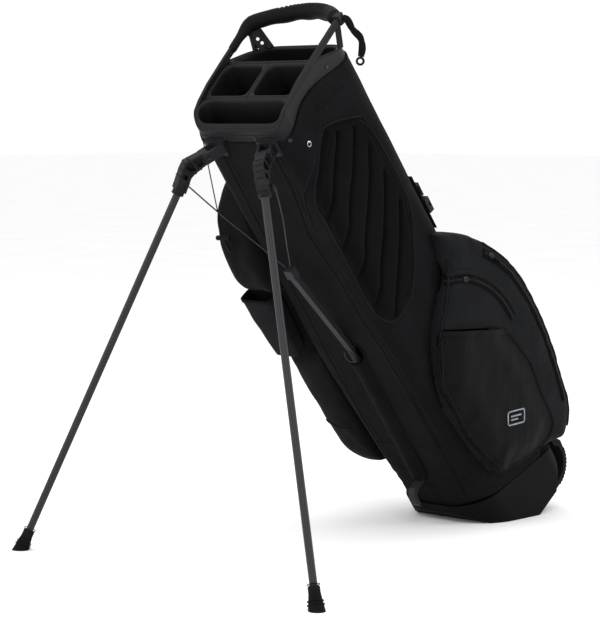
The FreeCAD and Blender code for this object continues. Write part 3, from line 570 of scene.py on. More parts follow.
def shell():
    """The fabric of the body, between the base tub and the moulded top, with its sewn seams."""
    rows, columns = 250, 320
    share = np.linspace(0, 1, columns, endpoint=False)
    v = np.linspace(0, 1, rows)
    base, _ = tube_point(share * perimeter(400.0), 400.0)
    x = base[:, 0]
    low, high = tub_edge(x) + 0.8, skirt(x) - 0.8
    z = low[None] + (high - low)[None] * v[:, None]
    tt = share[None] * perimeter(z)
    points, normal = tube_point(tt, z)
    flat = points.reshape(-1, 3)
    u, w = tt.ravel(), flat[:, 2]
    around = perimeter(w)
    wrapped = np.where(u > around - 140, u - around, u)
    out = 0.5 * ripple(flat, 95, 3) + 0.3 * ripple(flat * (1, 1, 0.5), 34, 4)
    out += 0.7 * smoothstep((230 - w) / 120) * ripple(flat * (1, 1, 1.6), 30, 5)
    for line in seams():
        gap = np.minimum(distance_to(wrapped, w, line), distance_to(u, w, line))
        out += 0.9 * np.exp(-((gap - 4.5) / 3.2) ** 2) - 1.6 * np.exp(-(gap / 1.6) ** 2)
    out = np.clip(out, -2.6, 1.6) - 0.9
    out *= smoothstep(np.minimum(v, 1 - v)[:, None] * 30 + 0.15).repeat(columns, 1).ravel()
    flat = flat + normal.reshape(-1, 3) * out[:, None]
    obj = piece("shell_skin", (flat, grid_faces(rows, columns, True)), SHELL)
    thicken(obj, 0.0028, -1)
    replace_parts(obj, "body_shell")


def on_tube(line, count, grow):
    path = smooth_path(line, count)
    return tube_point(path[:, 0], path[:, 1], grow)


def stitches(parts, points, normals, gap=4.2, long=2.6, wide=0.7, high=0.5):
    """Appends thread stitches every few mm along a line on a surface."""
    step = np.concatenate([[0], np.cumsum(np.linalg.norm(np.diff(points, axis=0), axis=1))])
    where = np.arange(gap / 2, step[-1], gap)
    centre = np.stack([np.interp(where, step, points[:, k]) for k in range(3)], axis=1)
    ahead = np.stack([np.interp(where + 1, step, points[:, k]) for k in range(3)], axis=1)
    normal = np.stack([np.interp(where, step, normals[:, k]) for k in range(3)], axis=1)
    for c, a, n in zip(centre, ahead, normal):
        along = a - c
        if np.linalg.norm(along) < 1e-6:
            continue
        along /= np.linalg.norm(along)
        n = n / np.linalg.norm(n)
        parts.append(block(c, (along, np.cross(n, along), n), (long, wide, high)))


def shell_stitching():
    """Thread beside the shell's seams, and the piping of the padded flank."""
    parts = []
    for line in seams():
        for shift in (-3.4, 3.4):
            moved = [
                (a + shift, b) for a, b in line
            ] if abs(line[-1][1] - line[0][1]) > 100 else [(a, b + shift) for a, b in line]
            points, normals = on_tube(moved, 260, 0.35)
            keep = (points[:, 2] < skirt(points[:, 0]) - 3) & (points[:, 2] > tub_edge(points[:, 0]) + 3)
            if keep.sum() > 4:
                stitches(parts, points[keep], normals[keep])
    piece("shell_stitches", join_parts(parts), STITCH, smooth=False)
    points, normals = on_tube(BORDER, 200, 0.9)
    piece("flank_piping", sweep(points, circle(2.0, 10), normals), PANEL)


def hip_pad():
    """The quilted pad that wraps from the near flank round the rear corner."""
    step = 1.7
    t = np.arange(-68, 105, step)
    z = np.arange(440, 788, step)
    tt, zz = np.meshgrid(t, z)
    edge = distance_to(tt, zz, PAD_LOOP + PAD_LOOP[:1])
    within = inside(tt, zz, PAD_LOOP)
    depth = np.where(within, edge, 0)
    high = 8.2 * smoothstep(depth / 9) ** 0.7
    right = np.interp(zz, [461, 521, 592, 731, 749], [-10, -34, -62, -54, -44])
    for i in range(6):
        line = [(a, b - 59 * i) for a, b in GROOVE]
        gap = distance_to(tt, zz, line)
        fade = smoothstep((tt - right - 16) / 8) * smoothstep((depth - 7) / 6 + smoothstep((tt - 55) / 20))
        high -= fade * (5.6 * np.exp(-(gap / 2.3) ** 2) + 1.4 * np.exp(-(gap / 8) ** 2))
    high -= 1.6 * np.exp(-((edge - 11) / 1.8) ** 2) * within
    flat = np.stack([tt, np.zeros(tt.shape), zz], -1).reshape(-1, 3)
    high += (0.35 * ripple(flat, 40, 11) * smoothstep(depth.ravel() / 14)).reshape(tt.shape)
    outer, normal = tube_point(tt, zz, 0.9)
    outer = outer + normal * np.maximum(high, 0)[..., None]
    rows, columns = tt.shape
    use = within | (edge < step * 1.2)
    faces = []
    for i, j in used_cells(use):
        a = i * columns + j
        faces.append((a, a + columns, a + columns + 1, a + 1))
    obj = piece("hip_pad_quilt", (outer.reshape(-1, 3), faces), PAD)
    bm_clean(obj)
    thicken(obj, 0.0012, -1)
    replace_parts(obj, "hip_pad")
    path = smooth_path(PAD_LOOP, 420, closed=True)
    points, normals = tube_point(path[:, 0], path[:, 1], 1.6)
    piece("hip_pad_piping", sweep(points, circle(2.1, 10), normals, closed=True), PANEL)


def bm_clean(obj):
    """Removes vertices that no face uses."""
    bm = bmesh.new()
    bm.from_mesh(obj.data)
    loose = [v for v in bm.verts if not v.link_faces]
    bmesh.ops.delete(bm, geom=loose, context="VERTS")
    bmesh.ops.recalc_face_normals(bm, faces=bm.faces)
    bm.to_mesh(obj.data)
    bm.free()


# ---------------------------------------------------------------- cloth
def coords(obj, kind="co"):
    """The mesh's vertex places, or its vertex normals."""
    out = np.empty(len(obj.data.vertices) * 3)
    obj.data.vertices.foreach_get(kind, out)
    return out.reshape(-1, 3)


def set_coords(obj, points):
    obj.data.vertices.foreach_set("co", np.asarray(points, float).ravel())
    obj.data.update()


def relax(obj, times, held=None, weight=0.5):
    """Laplacian smoothing, which rounds hard corners off."""
    points = coords(obj)
    edges = np.empty(len(obj.data.edges) * 2, int)
    obj.data.edges.foreach_get("vertices", edges)
    edges = edges.reshape(-1, 2)
    degree = np.bincount(edges.ravel(), minlength=len(points))[:, None]
    for _ in range(times):
        total = np.zeros_like(points)
        np.add.at(total, edges[:, 0], points[edges[:, 1]])
        np.add.at(total, edges[:, 1], points[edges[:, 0]])
        moved = points + weight * (total / np.maximum(degree, 1) - points)
        points = moved if held is None else np.where(held[:, None], points, moved)
    set_coords(obj, points)


def puffed(name, node, held, voxel, pressure, cap, times, frames=20):
    """A soft piece from a CAD solid: remeshed, rounded, then blown up as cloth by at most cap mm."""
    obj = bpy.data.objects.new(name, nodes[node].data.copy())
    scene.collection.objects.link(obj)
    modifier(obj, "REMESH", mode="VOXEL", voxel_size=voxel)
    bake_modifiers(obj)
    pinned = held(bag(coords(obj)))
    relax(obj, times, pinned)
    start = coords(obj)
    group = obj.vertex_groups.new(name="held")
    group.add([int(i) for i in np.nonzero(pinned)[0]], 1.0, "REPLACE")
    cloth = modifier(obj, "CLOTH")
    s = cloth.settings
    s.quality, s.mass = 4, 0.3
    s.tension_stiffness = s.compression_stiffness = 12
    s.shear_stiffness, s.bending_stiffness = 4, 0.4
    s.use_pressure, s.uniform_pressure_force = True, pressure
    s.vertex_group_mass = "held"
    s.effector_weights.gravity = 0
    cloth.collision_settings.use_collision = False
    cloth.point_cache.frame_start, cloth.point_cache.frame_end = 1, frames
    for f in range(1, frames + 1):
        scene.frame_set(f)
    bake_modifiers(obj)
    scene.frame_set(1)
    move = (coords(obj) - start) * 1000
    far = np.linalg.norm(move, axis=1)
    move *= (np.minimum(far, cap * (1 - np.exp(-far / cap))) / np.maximum(far, 1e-6))[:, None]
    set_coords(obj, start + move / 1000)
    relax(obj, 3, pinned)
    return obj


def tree_of(obj):
    """A ray target of the piece in the bag frame, mm."""
    mesh = obj.data
    return BVHTree.FromPolygons(
        [Vector(c) for c in bag(coords(obj))], [tuple(p.vertices) for p in mesh.polygons]
    )


PANEL_FOOT = 54  # mm up the tube
RAY_REACH = 200  # mm, more than any pocket is deep


def drop_on(tree, points, direction):
    """Moves points along a direction onto a surface; returns points and normals."""
    d = Vector(direction).normalized()
    placed, normals = [], []
    for p in points:
        hit, normal, _, _ = tree.ray_cast(Vector(p) - d * RAY_REACH, d, 2 * RAY_REACH)
        if hit is None:
            hit, normal, _, _ = tree.find_nearest(Vector(p))
        if normal.dot(d) > 0:
            normal = -normal
        placed.append(tuple(hit))
        normals.append(tuple(normal))
    return np.array(placed), np.array(normals)


def near_tube(points, margin):
    """True where a point is within margin mm of the tube or the base tub."""
    x, y, z = points.T
    front, rear, half, rf, rr = outline(z)
    r = np.where(x < 0, rf, rr)
    cx, hx = (rear - front) / 2, (rear + front) / 2
    qx, qy = np.abs(x - cx) - hx + r, np.abs(y) - half + r
    gap = np.minimum(np.maximum(qx, qy), 0) + np.hypot(np.maximum(qx, 0), np.maximum(qy, 0)) - r
    tub = (x < 134) & (np.abs(y) < 94) & (z < 62)
    return (gap < margin) | tub


# ---------------------------------------------------------------- zips and pulls
def zip_run(name, points, normals, width=9.0, pitch=2.4):
    """Tape, two rows of teeth and the stitching of a closed zip that follows a surface."""
    tape = piece(
        name + "_tape", sweep(points + normals * 0.9, slab(width * 1.7, 1.0), normals), ZIP
    )
    step = np.concatenate([[0], np.cumsum(np.linalg.norm(np.diff(points, axis=0), axis=1))])
    parts = []
    for k, s in enumerate(np.arange(1.5, step[-1] - 1.5, pitch / 2)):
        c = np.array([np.interp(s, step, points[:, i]) for i in range(3)])
        a = np.array([np.interp(min(s + 1, step[-1]), step, points[:, i]) for i in range(3)]) - c
        n = np.array([np.interp(s, step, normals[:, i]) for i in range(3)])
        a, n = a / max(np.linalg.norm(a), 1e-6), n / np.linalg.norm(n)
        side = np.cross(n, a)
        shift = 0.9 if k % 2 else -0.9
        parts.append(block(c + n * 1.9 + side * shift, (a, side, n), (pitch * 0.36, 2.9, 1.5)))
    piece(name + "_teeth", join_parts(parts), TEETH, smooth=False)
    parts = []
    side = np.cross(normals, np.gradient(points, axis=0))
    side /= np.linalg.norm(side, axis=1)[:, None]
    for shift in (-width * 0.66, width * 0.66):
        stitches(parts, points + side * shift + normals * 1.5, normals, 3.4, 2.2, 0.5, 0.4)
    piece(name + "_thread", join_parts(parts), STITCH, smooth=False)
    return tape


def zip_slider(name, place, along, normal, body, node):
    """A cast slider with its bridge, ring and long pull."""
    a = np.asarray(along, float) / np.linalg.norm(along)
    n = np.asarray(normal, float)
    n = n - a * (n @ a)
    n /= np.linalg.norm(n)
    side = np.cross(n, a)
    base = np.asarray(place, float)

    def put(points):
        p = np.asarray(points, float)
        return base + p[:, :1] * a + p[:, 1:2] * side + p[:, 2:] * n

    wing = [
        (-5.5, 0), (-5.2, 2.6), (-1, 4.2), (4.2, 3.9), (5.8, 1.8), (5.8, -1.8), (4.2, -3.9), (-1, -4.2),
        (-5.2, -2.6)
    ]
    parts = []
    for low, high in ((0.6, 1.6), (2.6, 3.6)):
        v = [(p, q, low) for p, q in wing] + [(p, q, high) for p, q in wing]
        m = len(wing)
        f = [tuple(range(m))[::-1], tuple(range(m, 2 * m))] + [
            (i, (i + 1) % m, m + (i + 1) % m, m + i) for i in range(m)
        ]
        parts.append((put(v), f))
    arch = [(4.6, 0, 2.6), (4.2, 0, 5.0), (1.4, 0, 5.9), (-1.6, 0, 5.2), (-2.6, 0, 3.0)]
    v, f = sweep(smooth_path(put(arch), 14), circle(0.75, 8), side)
    parts.append((v, f))
    ring = [
        (
            2.4 + 4.6 * math.cos(u), 2.4 * math.sin(u), 4.4 + 0.4 * math.cos(u)
        ) for u in np.linspace(0, 2 * math.pi, 20, endpoint=False)
    ]
    v, f = sweep(put(ring), circle(0.55, 8), n, closed=True)
    parts.append((v, f))
    slider = piece(name, join_parts(parts), STEEL, body)
    modifier(slider, "BEVEL", width=0.0003, segments=2, limit_method="ANGLE")
    bake_modifiers(slider)
    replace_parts(slider, node)
    tab = [(p, 0, q) for p, q in ((6.2, 3.9), (12, 3.6), (20, 3.0), (27, 2.2))]
    path = smooth_path(put(tab), 20)
    wide = 0.75 + 0.35 * np.sin(np.linspace(0.3, 2.9, 20))
    v, f = sweep(path, slab(5.6, 1.9), n, scale=wide)
    piece(name + "_pull", (v, f), RUBBER, body)


# ---------------------------------------------------------------- pockets
def ball_pocket():
    def held(points):
        return near_tube(points, 4.0)

    obj = puffed("ball_pocket_soft", "ball_pocket", held, 0.0055, 4.0, 5.0, 14)
    points = coords(obj)
    local = bag(points)
    free = ~held(local)
    crease = 0.55 * ripple(local * (1, 1, 0.6), 42, 21) + 0.35 * ripple(local, 19, 22)
    normal = coords(obj, "normal")
    x, y, z = local.T
    sag = -1.6 * np.exp(-((z - 470 + 0.45 * x) / 26) ** 2) * (y < -60)
    points = points + normal * ((crease + sag) * free / 1000)[:, None]
    local = bag(points)
    x, y, z = local.T
    off_arc = np.abs(np.hypot(x - ARC_CENTRE[0], z - ARC_CENTRE[1]) - ARC_RADIUS)
    angle = np.degrees(np.arctan2(z - ARC_CENTRE[1], x - ARC_CENTRE[0]))
    share = (
        1 - smoothstep((off_arc - 9) / 26)
    ) * smoothstep((angle + 16) / 12) * smoothstep((68 - angle) / 14) * (y < -60)
    local[:, 1] = y + (np.percentile(y[share > 0.95], 30) - y) * share
    set_coords(obj, world(local))
    subdivide(obj)
    finish_piece(obj, "bag", PANEL)
    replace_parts(obj, "ball_pocket")
    return tree_of(obj)


ARC_CENTRE, ARC_RADIUS = np.array((-36.0, 290.0)), 162
BALL_FRONT = (
    (66, 507), (55, 463), (16, 414), (-21, 385), (-54, 331), (-69, 282), (-65, 203), (-53, 133), (-38, 87)
)
BALL_REAR = (
    (132, 12), (150, 27), (172, 58), (186, 104), (201, 180), (205, 250), (201, 308), (184, 371), (154, 427),
    (110, 475)
)


def inset(line, by, side):
    """The line moved sideways in its plane."""
    p = np.asarray(line, float)
    d = np.gradient(p, axis=0)
    d /= np.linalg.norm(d, axis=1)[:, None]
    return p + side * by * np.stack([-d[:, 1], d[:, 0]], axis=1)


def on_near_face(tree, line, count, closed=False):
    path = smooth_path(line, count, closed)
    points = np.stack([path[:, 0], np.full(len(path), -150.0), path[:, 1]], axis=1)
    return drop_on(tree, points, (0, 1, 0))


def ball_trim(tree):
    """Piping round the near face, the main zip beside it, the curved zip and its flap."""
    front = smooth_path(BALL_FRONT[1:], 90)
    rear = smooth_path(BALL_REAR[1:-1], 110)
    for name, line, by in (("front", front, -9), ("rear", rear, 9)):
        points, normals = on_near_face(tree, inset(line, abs(by), 1), 110)
        piece(
            f"ball_piping_{name}", sweep(points + normals * 0.6, circle(2.0, 10), normals), PANEL
        )
        parts = []
        side = np.cross(normals, np.gradient(points, axis=0))
        side /= np.linalg.norm(side, axis=1)[:, None]
        stitches(parts, points + side * 4 * np.sign(-by) + normals * 0.3, normals)
        piece(f"ball_thread_{name}", join_parts(parts), STITCH, smooth=False)
    points, normals = on_near_face(tree, inset(rear[14:], 24, 1), 150)
    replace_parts(zip_run("main_zip", points, normals), "ball_pocket_zip")
    end, ahead = points[-8], points[-8] - points[-9]
    zip_slider("main_zip_slider", end + normals[-8] * 1.2, -ahead, normals[-8], "bag", "ball_zip_pull")
    # the second gusset seam, over the rear of the pocket
    for y, name in ((-62, "near"), (18, "far")):
        line = smooth_path(BALL_REAR[1:-1], 90)
        start = np.stack([line[:, 0] + 60, np.full(len(line), float(y)), line[:, 1] + 30], axis=1)
        points, normals = drop_on(tree, start, (-0.9, 0, -0.2))
        piece(
            f"gusset_piping_{name}", sweep(points + normals * 0.5, circle(1.6, 8), normals), PANEL
        )
    # curved zip of the valuables pocket
    centre, radius = ARC_CENTRE, ARC_RADIUS
    angle = np.radians(np.linspace(-2, 66, 120))
    arc = centre + radius * np.stack([np.cos(angle), np.sin(angle)], axis=1)
    points, normals = on_near_face(tree, arc, 130)
    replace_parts(zip_run("valuables_zip_run", points, normals, 7.5), "valuables_zip")
    k = int(130 * 52 / 68)
    zip_slider(
        "valuables_slider", points[k] + normals[k] * 1.0, points[k - 1] - points[k], normals[k],
        "valuables_zip_slider", "valuables_zip_slider"
    )
    flap = centre + (radius + 11) * np.stack([np.cos(angle), np.sin(angle)], axis=1)
    points, normals = on_near_face(tree, flap, 130)
    piece("valuables_storm_flap", sweep(points + normals * 0.8, slab(8, 2.2), normals), PANEL)


SLIP = [
    (-24, 383), (100, 283), (118, 200), (112, 140), (96, 54), (-34, 92), (-49, 135), (-61, 205), (-65, 284),
    (-54, 326)
]


def slip_pocket(tree):
    """The smooth pouch on the near face: its edges are sewn down and its mouth stands off."""
    step = 2.2
    xs, zs = np.arange(-68, 122, step), np.arange(50, 388, step)
    xx, zz = np.meshgrid(xs, zs)
    loop = [tuple(p) for p in smooth_path(SLIP[2:], 80)]
    loop = [SLIP[0], SLIP[1]] + loop
    within = inside(xx, zz, loop)
    corners = np.array(loop + loop[:1])
    edge = np.vstack([np.linspace(a, b, 24, endpoint=False) for a, b in zip(corners[:-1], corners[1:])])
    use = within.copy()
    for i, j in np.argwhere(~within):
        gap = np.hypot(edge[:, 0] - xx[i, j], edge[:, 1] - zz[i, j])
        if gap.min() < step * 1.5:
            use[i, j] = True
            xx[i, j], zz[i, j] = edge[gap.argmin()]
    sewn = distance_to(xx, zz, loop[1:] + loop[:1])
    mouth = distance_to(xx, zz, loop[:2])
    flat = np.stack([xx.ravel(), np.full(xx.size, -150.0), zz.ravel()], axis=1)
    placed, _ = drop_on(tree, flat, (0, 1, 0))
    surface = np.minimum(placed[:, 1].reshape(xx.shape), -112)
    bulge = 1.0 + 8.0 * smoothstep(sewn / 46) * (0.45 + 0.55 * smoothstep(1 - mouth / 120))
    bulge += 0.5 * ripple(flat * (1, 0, 0.7), 60, 31).reshape(xx.shape) * smoothstep(sewn / 25)
    bulge += 0.9 * np.exp(-((mouth - 6) / 4) ** 2)
    bulge -= 0.8 * np.exp(-((sewn - 5) / 1.4) ** 2)
    y = surface - bulge
    verts = np.stack([xx, y, zz], -1).reshape(-1, 3)
    rows, columns = xx.shape
    faces = []
    for i, j in used_cells(use):
        a = i * columns + j
        faces.append((a, a + 1, a + columns + 1, a + columns))
    obj = piece("slip_pocket_panel", (verts, faces), POUCH)
    bm_clean(obj)
    thicken(obj, 0.0014, -1)
    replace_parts(obj, "slip_pocket")
    panel = tree_of(obj)
    hem = np.array([(x, -160.0, z) for x, z in smooth_path(loop[:2], 60)])
    points, normal = drop_on(panel, hem - (0, 0, 4.5), (0, 1, 0))
    piece("slip_pocket_hem", sweep(points + normal * 0.5, slab(9, 1.6), normal), POUCH)
    line = np.array(loop[1:] + loop[:1])
    points, normal = drop_on(tree, np.array([(x, -160.0, z) for x, z in smooth_path(line, 260)]), (0, 1, 0))
    piece("slip_pocket_piping", sweep(points + normal * 1.0, circle(1.9, 10), normal), PANEL)
    # A painted shadow strip along the gap under the pocket's mouth.
    gap = np.array([(x, -160.0, z + 2.6) for x, z in smooth_path(loop[:2], 60)])[5:54]
    above, out = drop_on(tree, gap, (0, 1, 0))
    piece("slip_pocket_shadow", sweep(above + out * 0.9, slab(2.4, 1.0), out), PAINTED_SHADOW)
    piece("slip_pocket_tab", sweep(above[38:] + out[38:] * 1.6, slab(6.0, 1.4), out[38:]), STRAP)
    parts = []
    stitches(parts, points + normal * 3.0, normal)
    points, normal = drop_on(panel, hem - (0, 0, 9.5), (0, 1, 0))
    stitches(parts, points + normal * 0.3, normal)
    piece("slip_pocket_thread", join_parts(parts), STITCH, smooth=False)
    badge(panel)


def badge(tree):
    """A plain embroidered label frame with two bars: a stand-in mark of nobody's."""
    centre = np.array((34.0, 152.0))
    u, v = np.array((0.84, -0.54)), np.array((0.54, 0.84))
    long, high, corner = 21.0, 11.0, 4.0
    frame_line = []
    for (su, sv), first in (((1, 1), 0), ((-1, 1), 90), ((-1, -1), 180), ((1, -1), 270)):
        for a in np.radians(np.arange(first, first + 91, 18)):
            frame_line.append(
                centre + (su * (long - corner) + corner * math.cos(a)) * u
                + (sv * (high - corner) + corner * math.sin(a)) * v
            )
    points, normals = on_near_face(tree, frame_line, 110, closed=True)
    parts = [sweep(points + normals * 0.5, slab(2.4, 0.9), normals, closed=True)]
    for low, high_end, level in ((-13, 13, 2.6), (-13, 5, -3.2)):
        points, normals = on_near_face(
            tree, [centre + low * u + level * v, centre + high_end * u + level * v], 20
        )
        parts.append(sweep(points + normals * 0.5, slab(2.6, 0.9), normals))
    piece("embroidered_label", join_parts(parts), EMBROIDERY)


def apparel_pocket():
    def held(points):
        return near_tube(points, 3.5)

    obj = puffed("apparel_pocket_soft", "apparel_pocket", held, 0.0055, 4.0, 6.0, 16)
    points = coords(obj)
    local = bag(points)
    free = ~held(local)
    normal = coords(obj, "normal")
    folds = 0.8 * ripple(local * (1, 1, 0.35), 48, 41) + 0.45 * ripple(local * (1, 1, 0.7), 20, 42)
    local = bag(points + normal * (folds * free / 1000)[:, None])
    x, y, z = local.T
    # This levels the inner wall with the outer one too, which leaves a trough along the zip.
    share = (
        1 - smoothstep((np.abs(x) - 8) / 24)
    ) * smoothstep((z - 190) / 30) * smoothstep((622 - z) / 20) * (y > 60)
    local[:, 1] = y + (np.mean(y[share > 0.95]) - y) * share
    set_coords(obj, world(local))
    subdivide(obj)
    finish_piece(obj, "bag", SHELL)
    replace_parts(obj, "apparel_pocket")
    tree = tree_of(obj)
    z = np.linspace(598, 214, 150)
    start = np.stack([np.zeros(150), np.full(150, 220.0), z], axis=1)
    points, normals = drop_on(tree, start, (0, -1, 0))
    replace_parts(zip_run("apparel_zip_run", points, normals, 8.5), "apparel_zip")
    zip_slider(
        "apparel_slider", points[8] + normals[8] * 1.2, points[9] - points[8], normals[8],
        "apparel_zip_slider", "apparel_zip_slider"
    )
    for name, ends in (("front", -62), ("rear", 66)):
        x = np.full(150, float(ends))
        start = np.stack([x, np.full(150, 220.0), np.linspace(640, 170, 150)], axis=1)
        points, normals = drop_on(tree, start, (0, -1, 0))
        piece(
            f"apparel_piping_{name}", sweep(points + normals * 0.5, circle(1.9, 10), normals), PANEL,
        )
    # the boot seam carried on round the pocket's front
    line = [(-140, y, 205 + 0.1 * y) for y in np.linspace(100, 160, 30)]
    points, normals = drop_on(tree, line, (1, 0, 0))
    piece("apparel_boot_seam", sweep(points + normals * 0.4, circle(1.5, 8), normals), PANEL)
    return tree


def bottle_sleeve():
    """A stand-off pouch on the front of the long pocket, its mouth held open by a bound edge."""
    rows, columns = 34, 72
    a = np.linspace(0, 2 * math.pi, columns, endpoint=False)
    square = 0.42

    def ring(z, k):
        hx, hy = 16.4 - 4.5 * (1 - k) ** 2, 33.5 - 7 * (1 - k) ** 2
        c, s = np.cos(a), np.sin(a)
        x = -101.8 + hx * np.sign(c) * np.abs(c) ** square
        y = 136.5 + hy * np.sign(s) * np.abs(s) ** square
        return np.stack([x, y, np.full(columns, z)], axis=1)

    k = np.linspace(0, 1, rows)
    z = 387 + 118 * k
    outer = np.array([ring(level, share) for level, share in zip(z, k)])
    flat = outer.reshape(-1, 3)
    flat = flat + ripple(flat, 36, 51)[:, None] * (flat - (-101.8, 136.5, 0)) * (1, 1, 0) * 0.012
    verts = np.vstack([flat, [(-101.8, 136.5, 387)]])
    faces = grid_faces(rows, columns, True) + [(len(flat), (j + 1) % columns, j) for j in range(columns)]
    obj = piece("bottle_sleeve_pouch", (verts, faces), PANEL)
    thicken(obj, 0.0022, -1)
    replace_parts(obj, "bottle_sleeve")
    rim = flat.reshape(rows, columns, 3)[-1]
    piece(
        "bottle_sleeve_binding",
        sweep(rim + (0, 0, -1), slab(6, 3.0), rim - (-101.8, 136.5, 505), closed=True), STRAP
    )


def spine_channel():
    """The fabric channel down the front, open at its top, that the actuator rod slides in."""
    rows = 90
    z = np.linspace(376, 123.5, rows)
    k = np.linspace(0, 1, rows)
    section = [
        (-17, 0.0), (-14.5, 1.6), (-11.4, 6.0), (-7, 10.0), (0, 11.4), (7, 10.0), (11.4, 6.0), (14.5, 1.6),
        (17, 0.0)
    ]
    verts = []
    for level, share in zip(z, k):
        rise = 1.0 + 0.06 * math.exp(-((share) / 0.06) ** 2) - 0.10 * smoothstep((share - 0.9) / 0.1)
        verts += [(-95.2 - out * rise, y, level) for y, out in section]
    verts = np.array(verts, float)
    wobble = 0.35 * ripple(verts, 30, 61)
    verts[:, 0] -= wobble * (np.abs(verts[:, 1]) < 12)
    obj = piece("spine_channel_cover", (verts, grid_faces(rows, len(section))), SHELL)
    modifier(obj, "SOLIDIFY", thickness=0.0016, offset=0)
    modifier(obj, "SUBSURF", levels=2)
    bake_modifiers(obj)
    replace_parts(obj, "spine_channel")
    mouth = np.array([(-95.2 - out * 1.08, y, 376.5) for y, out in section])
    piece(
        "spine_channel_mouth", sweep(smooth_path(mouth, 40), circle(1.5, 10), (-1, 0, 0.2)), STRAP
    )
    parts = []
    for side in (-1, 1):
        line = np.stack([np.full(rows, -96.4), np.full(rows, side * 18.5), z], axis=1)
        stitches(parts, line, np.tile((-1.0, 0, 0), (rows, 1)))
    piece("spine_channel_thread", join_parts(parts), STITCH, smooth=False)


def rod_port():
    """The bound slot beside the channel's mouth, its dark inside a painted shadow disc, and the fixed loop
    that the rod slides through.
    """
    turn = np.linspace(0, 2 * math.pi, 48, endpoint=False)
    loop = np.stack([np.full(48, -97.0), -13 + 7.5 * np.cos(turn), 395 + 17 * np.sin(turn)], axis=1)
    piece("rod_port_binding", sweep(loop, circle(1.7, 8), (-1, 0, 0), closed=True), STRAP)
    # The disc inside the binding is a painted shadow for the slot's dark inside.
    verts = np.vstack([loop, [(-96.6, -13, 395)]])
    piece("rod_port_shadow", (verts, [(48, i, (i + 1) % 48) for i in range(48)]), PAINTED_SHADOW)
    bail = [
        (-108, -6.4, 404), (-108.5, -8.6, 392), (-107, -5, 383), (-107, 5, 383), (-108.5, 8.6, 392),
        (-108, 6.4, 404)
    ]
    piece("rod_end_bail", sweep(smooth_path(bail, 40), circle(1.2, 8), (1, 0, 0)), STEEL)


def hung_panel(name, node, low, high, top, columns, sag, waves, lengthwise):
    """A thin full-length fabric panel, a little slack between its edges."""
    across, z = np.meshgrid(np.linspace(low, high, columns), np.linspace(PANEL_FOOT, top, 150))
    slack = np.sin(np.pi * (across - low) / (high - low))
    slack = sag * slack * np.sin(np.pi * (z - PANEL_FOOT) / (top - PANEL_FOOT) * waves)
    place = (across, slack, z) if lengthwise is None else (lengthwise + slack, across, z)
    obj = piece(name, (np.stack(place, -1).reshape(-1, 3), grid_faces(150, columns)), LINING)
    thicken(obj, 0.0016, 0)
    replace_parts(obj, node)


def dividers():
    half = 84.6
    hung_panel("front_panel_cloth", "front_divider", -half, half, 799.4, 60, 2.6, 3, -51)
    hung_panel("rear_panel_cloth", "rear_divider", -half, half, 811.4, 60, 2.6, 3, 18)
    hung_panel("centre_panel_cloth", "centre_divider", -48.4, 15.6, 799, 30, 2.0, 4, None)


# ---------------------------------------------------------------- top and handle
def keep_node(name, material, bevel=0.0):
    """A CAD node whose shape is right gets its finish, and softened edges."""
    obj = nodes[name]
    obj.data.materials.clear()
    obj.data.materials.append(material)
    if bevel:
        modifier(
            obj, "BEVEL", width=bevel / 1000, segments=3, limit_method="ANGLE", angle_limit=math.radians(35)
        )
        modifier(obj, "WEIGHTED_NORMAL")
    obj.data.polygons.foreach_set("use_smooth", [True] * len(obj.data.polygons))


def ribs_on_cuff():
    """Fine moulded ribs across the front of the top."""
    for k, z in enumerate((799, 805.5, 812, 818.5)):
        t = np.linspace(92, 270, 130)
        points, normals = tube_point(t, np.full(130, z), 0.4)
        piece(f"cuff_rib_{k}", sweep(points, circle(1.15, 8, 0.8), normals), MOULD)


def rim_lip():
    """The rolled soft lip along the rim of the moulded top."""
    t = np.linspace(0, perimeter(848.0), 300, endpoint=False)
    base, normals = tube_point(t, np.full(300, 848.0), 0)
    x = base[:, 0]
    z = np.interp(x, RIM_X, RIM_Z)
    points = np.stack([x, base[:, 1], z], axis=1) - normals * (2.6, 2.6, 0)
    for _ in range(6):
        points = 0.25 * np.roll(points, 1, 0) + 0.5 * points + 0.25 * np.roll(points, -1, 0)
    piece("rim_lip", sweep(points, circle(3.0, 12, 0.9), (0, 0, 1), closed=True), MOULD)


RIM_X, RIM_Z = [-97, -76, 22, 97], [826, 849, 867.7, 841]


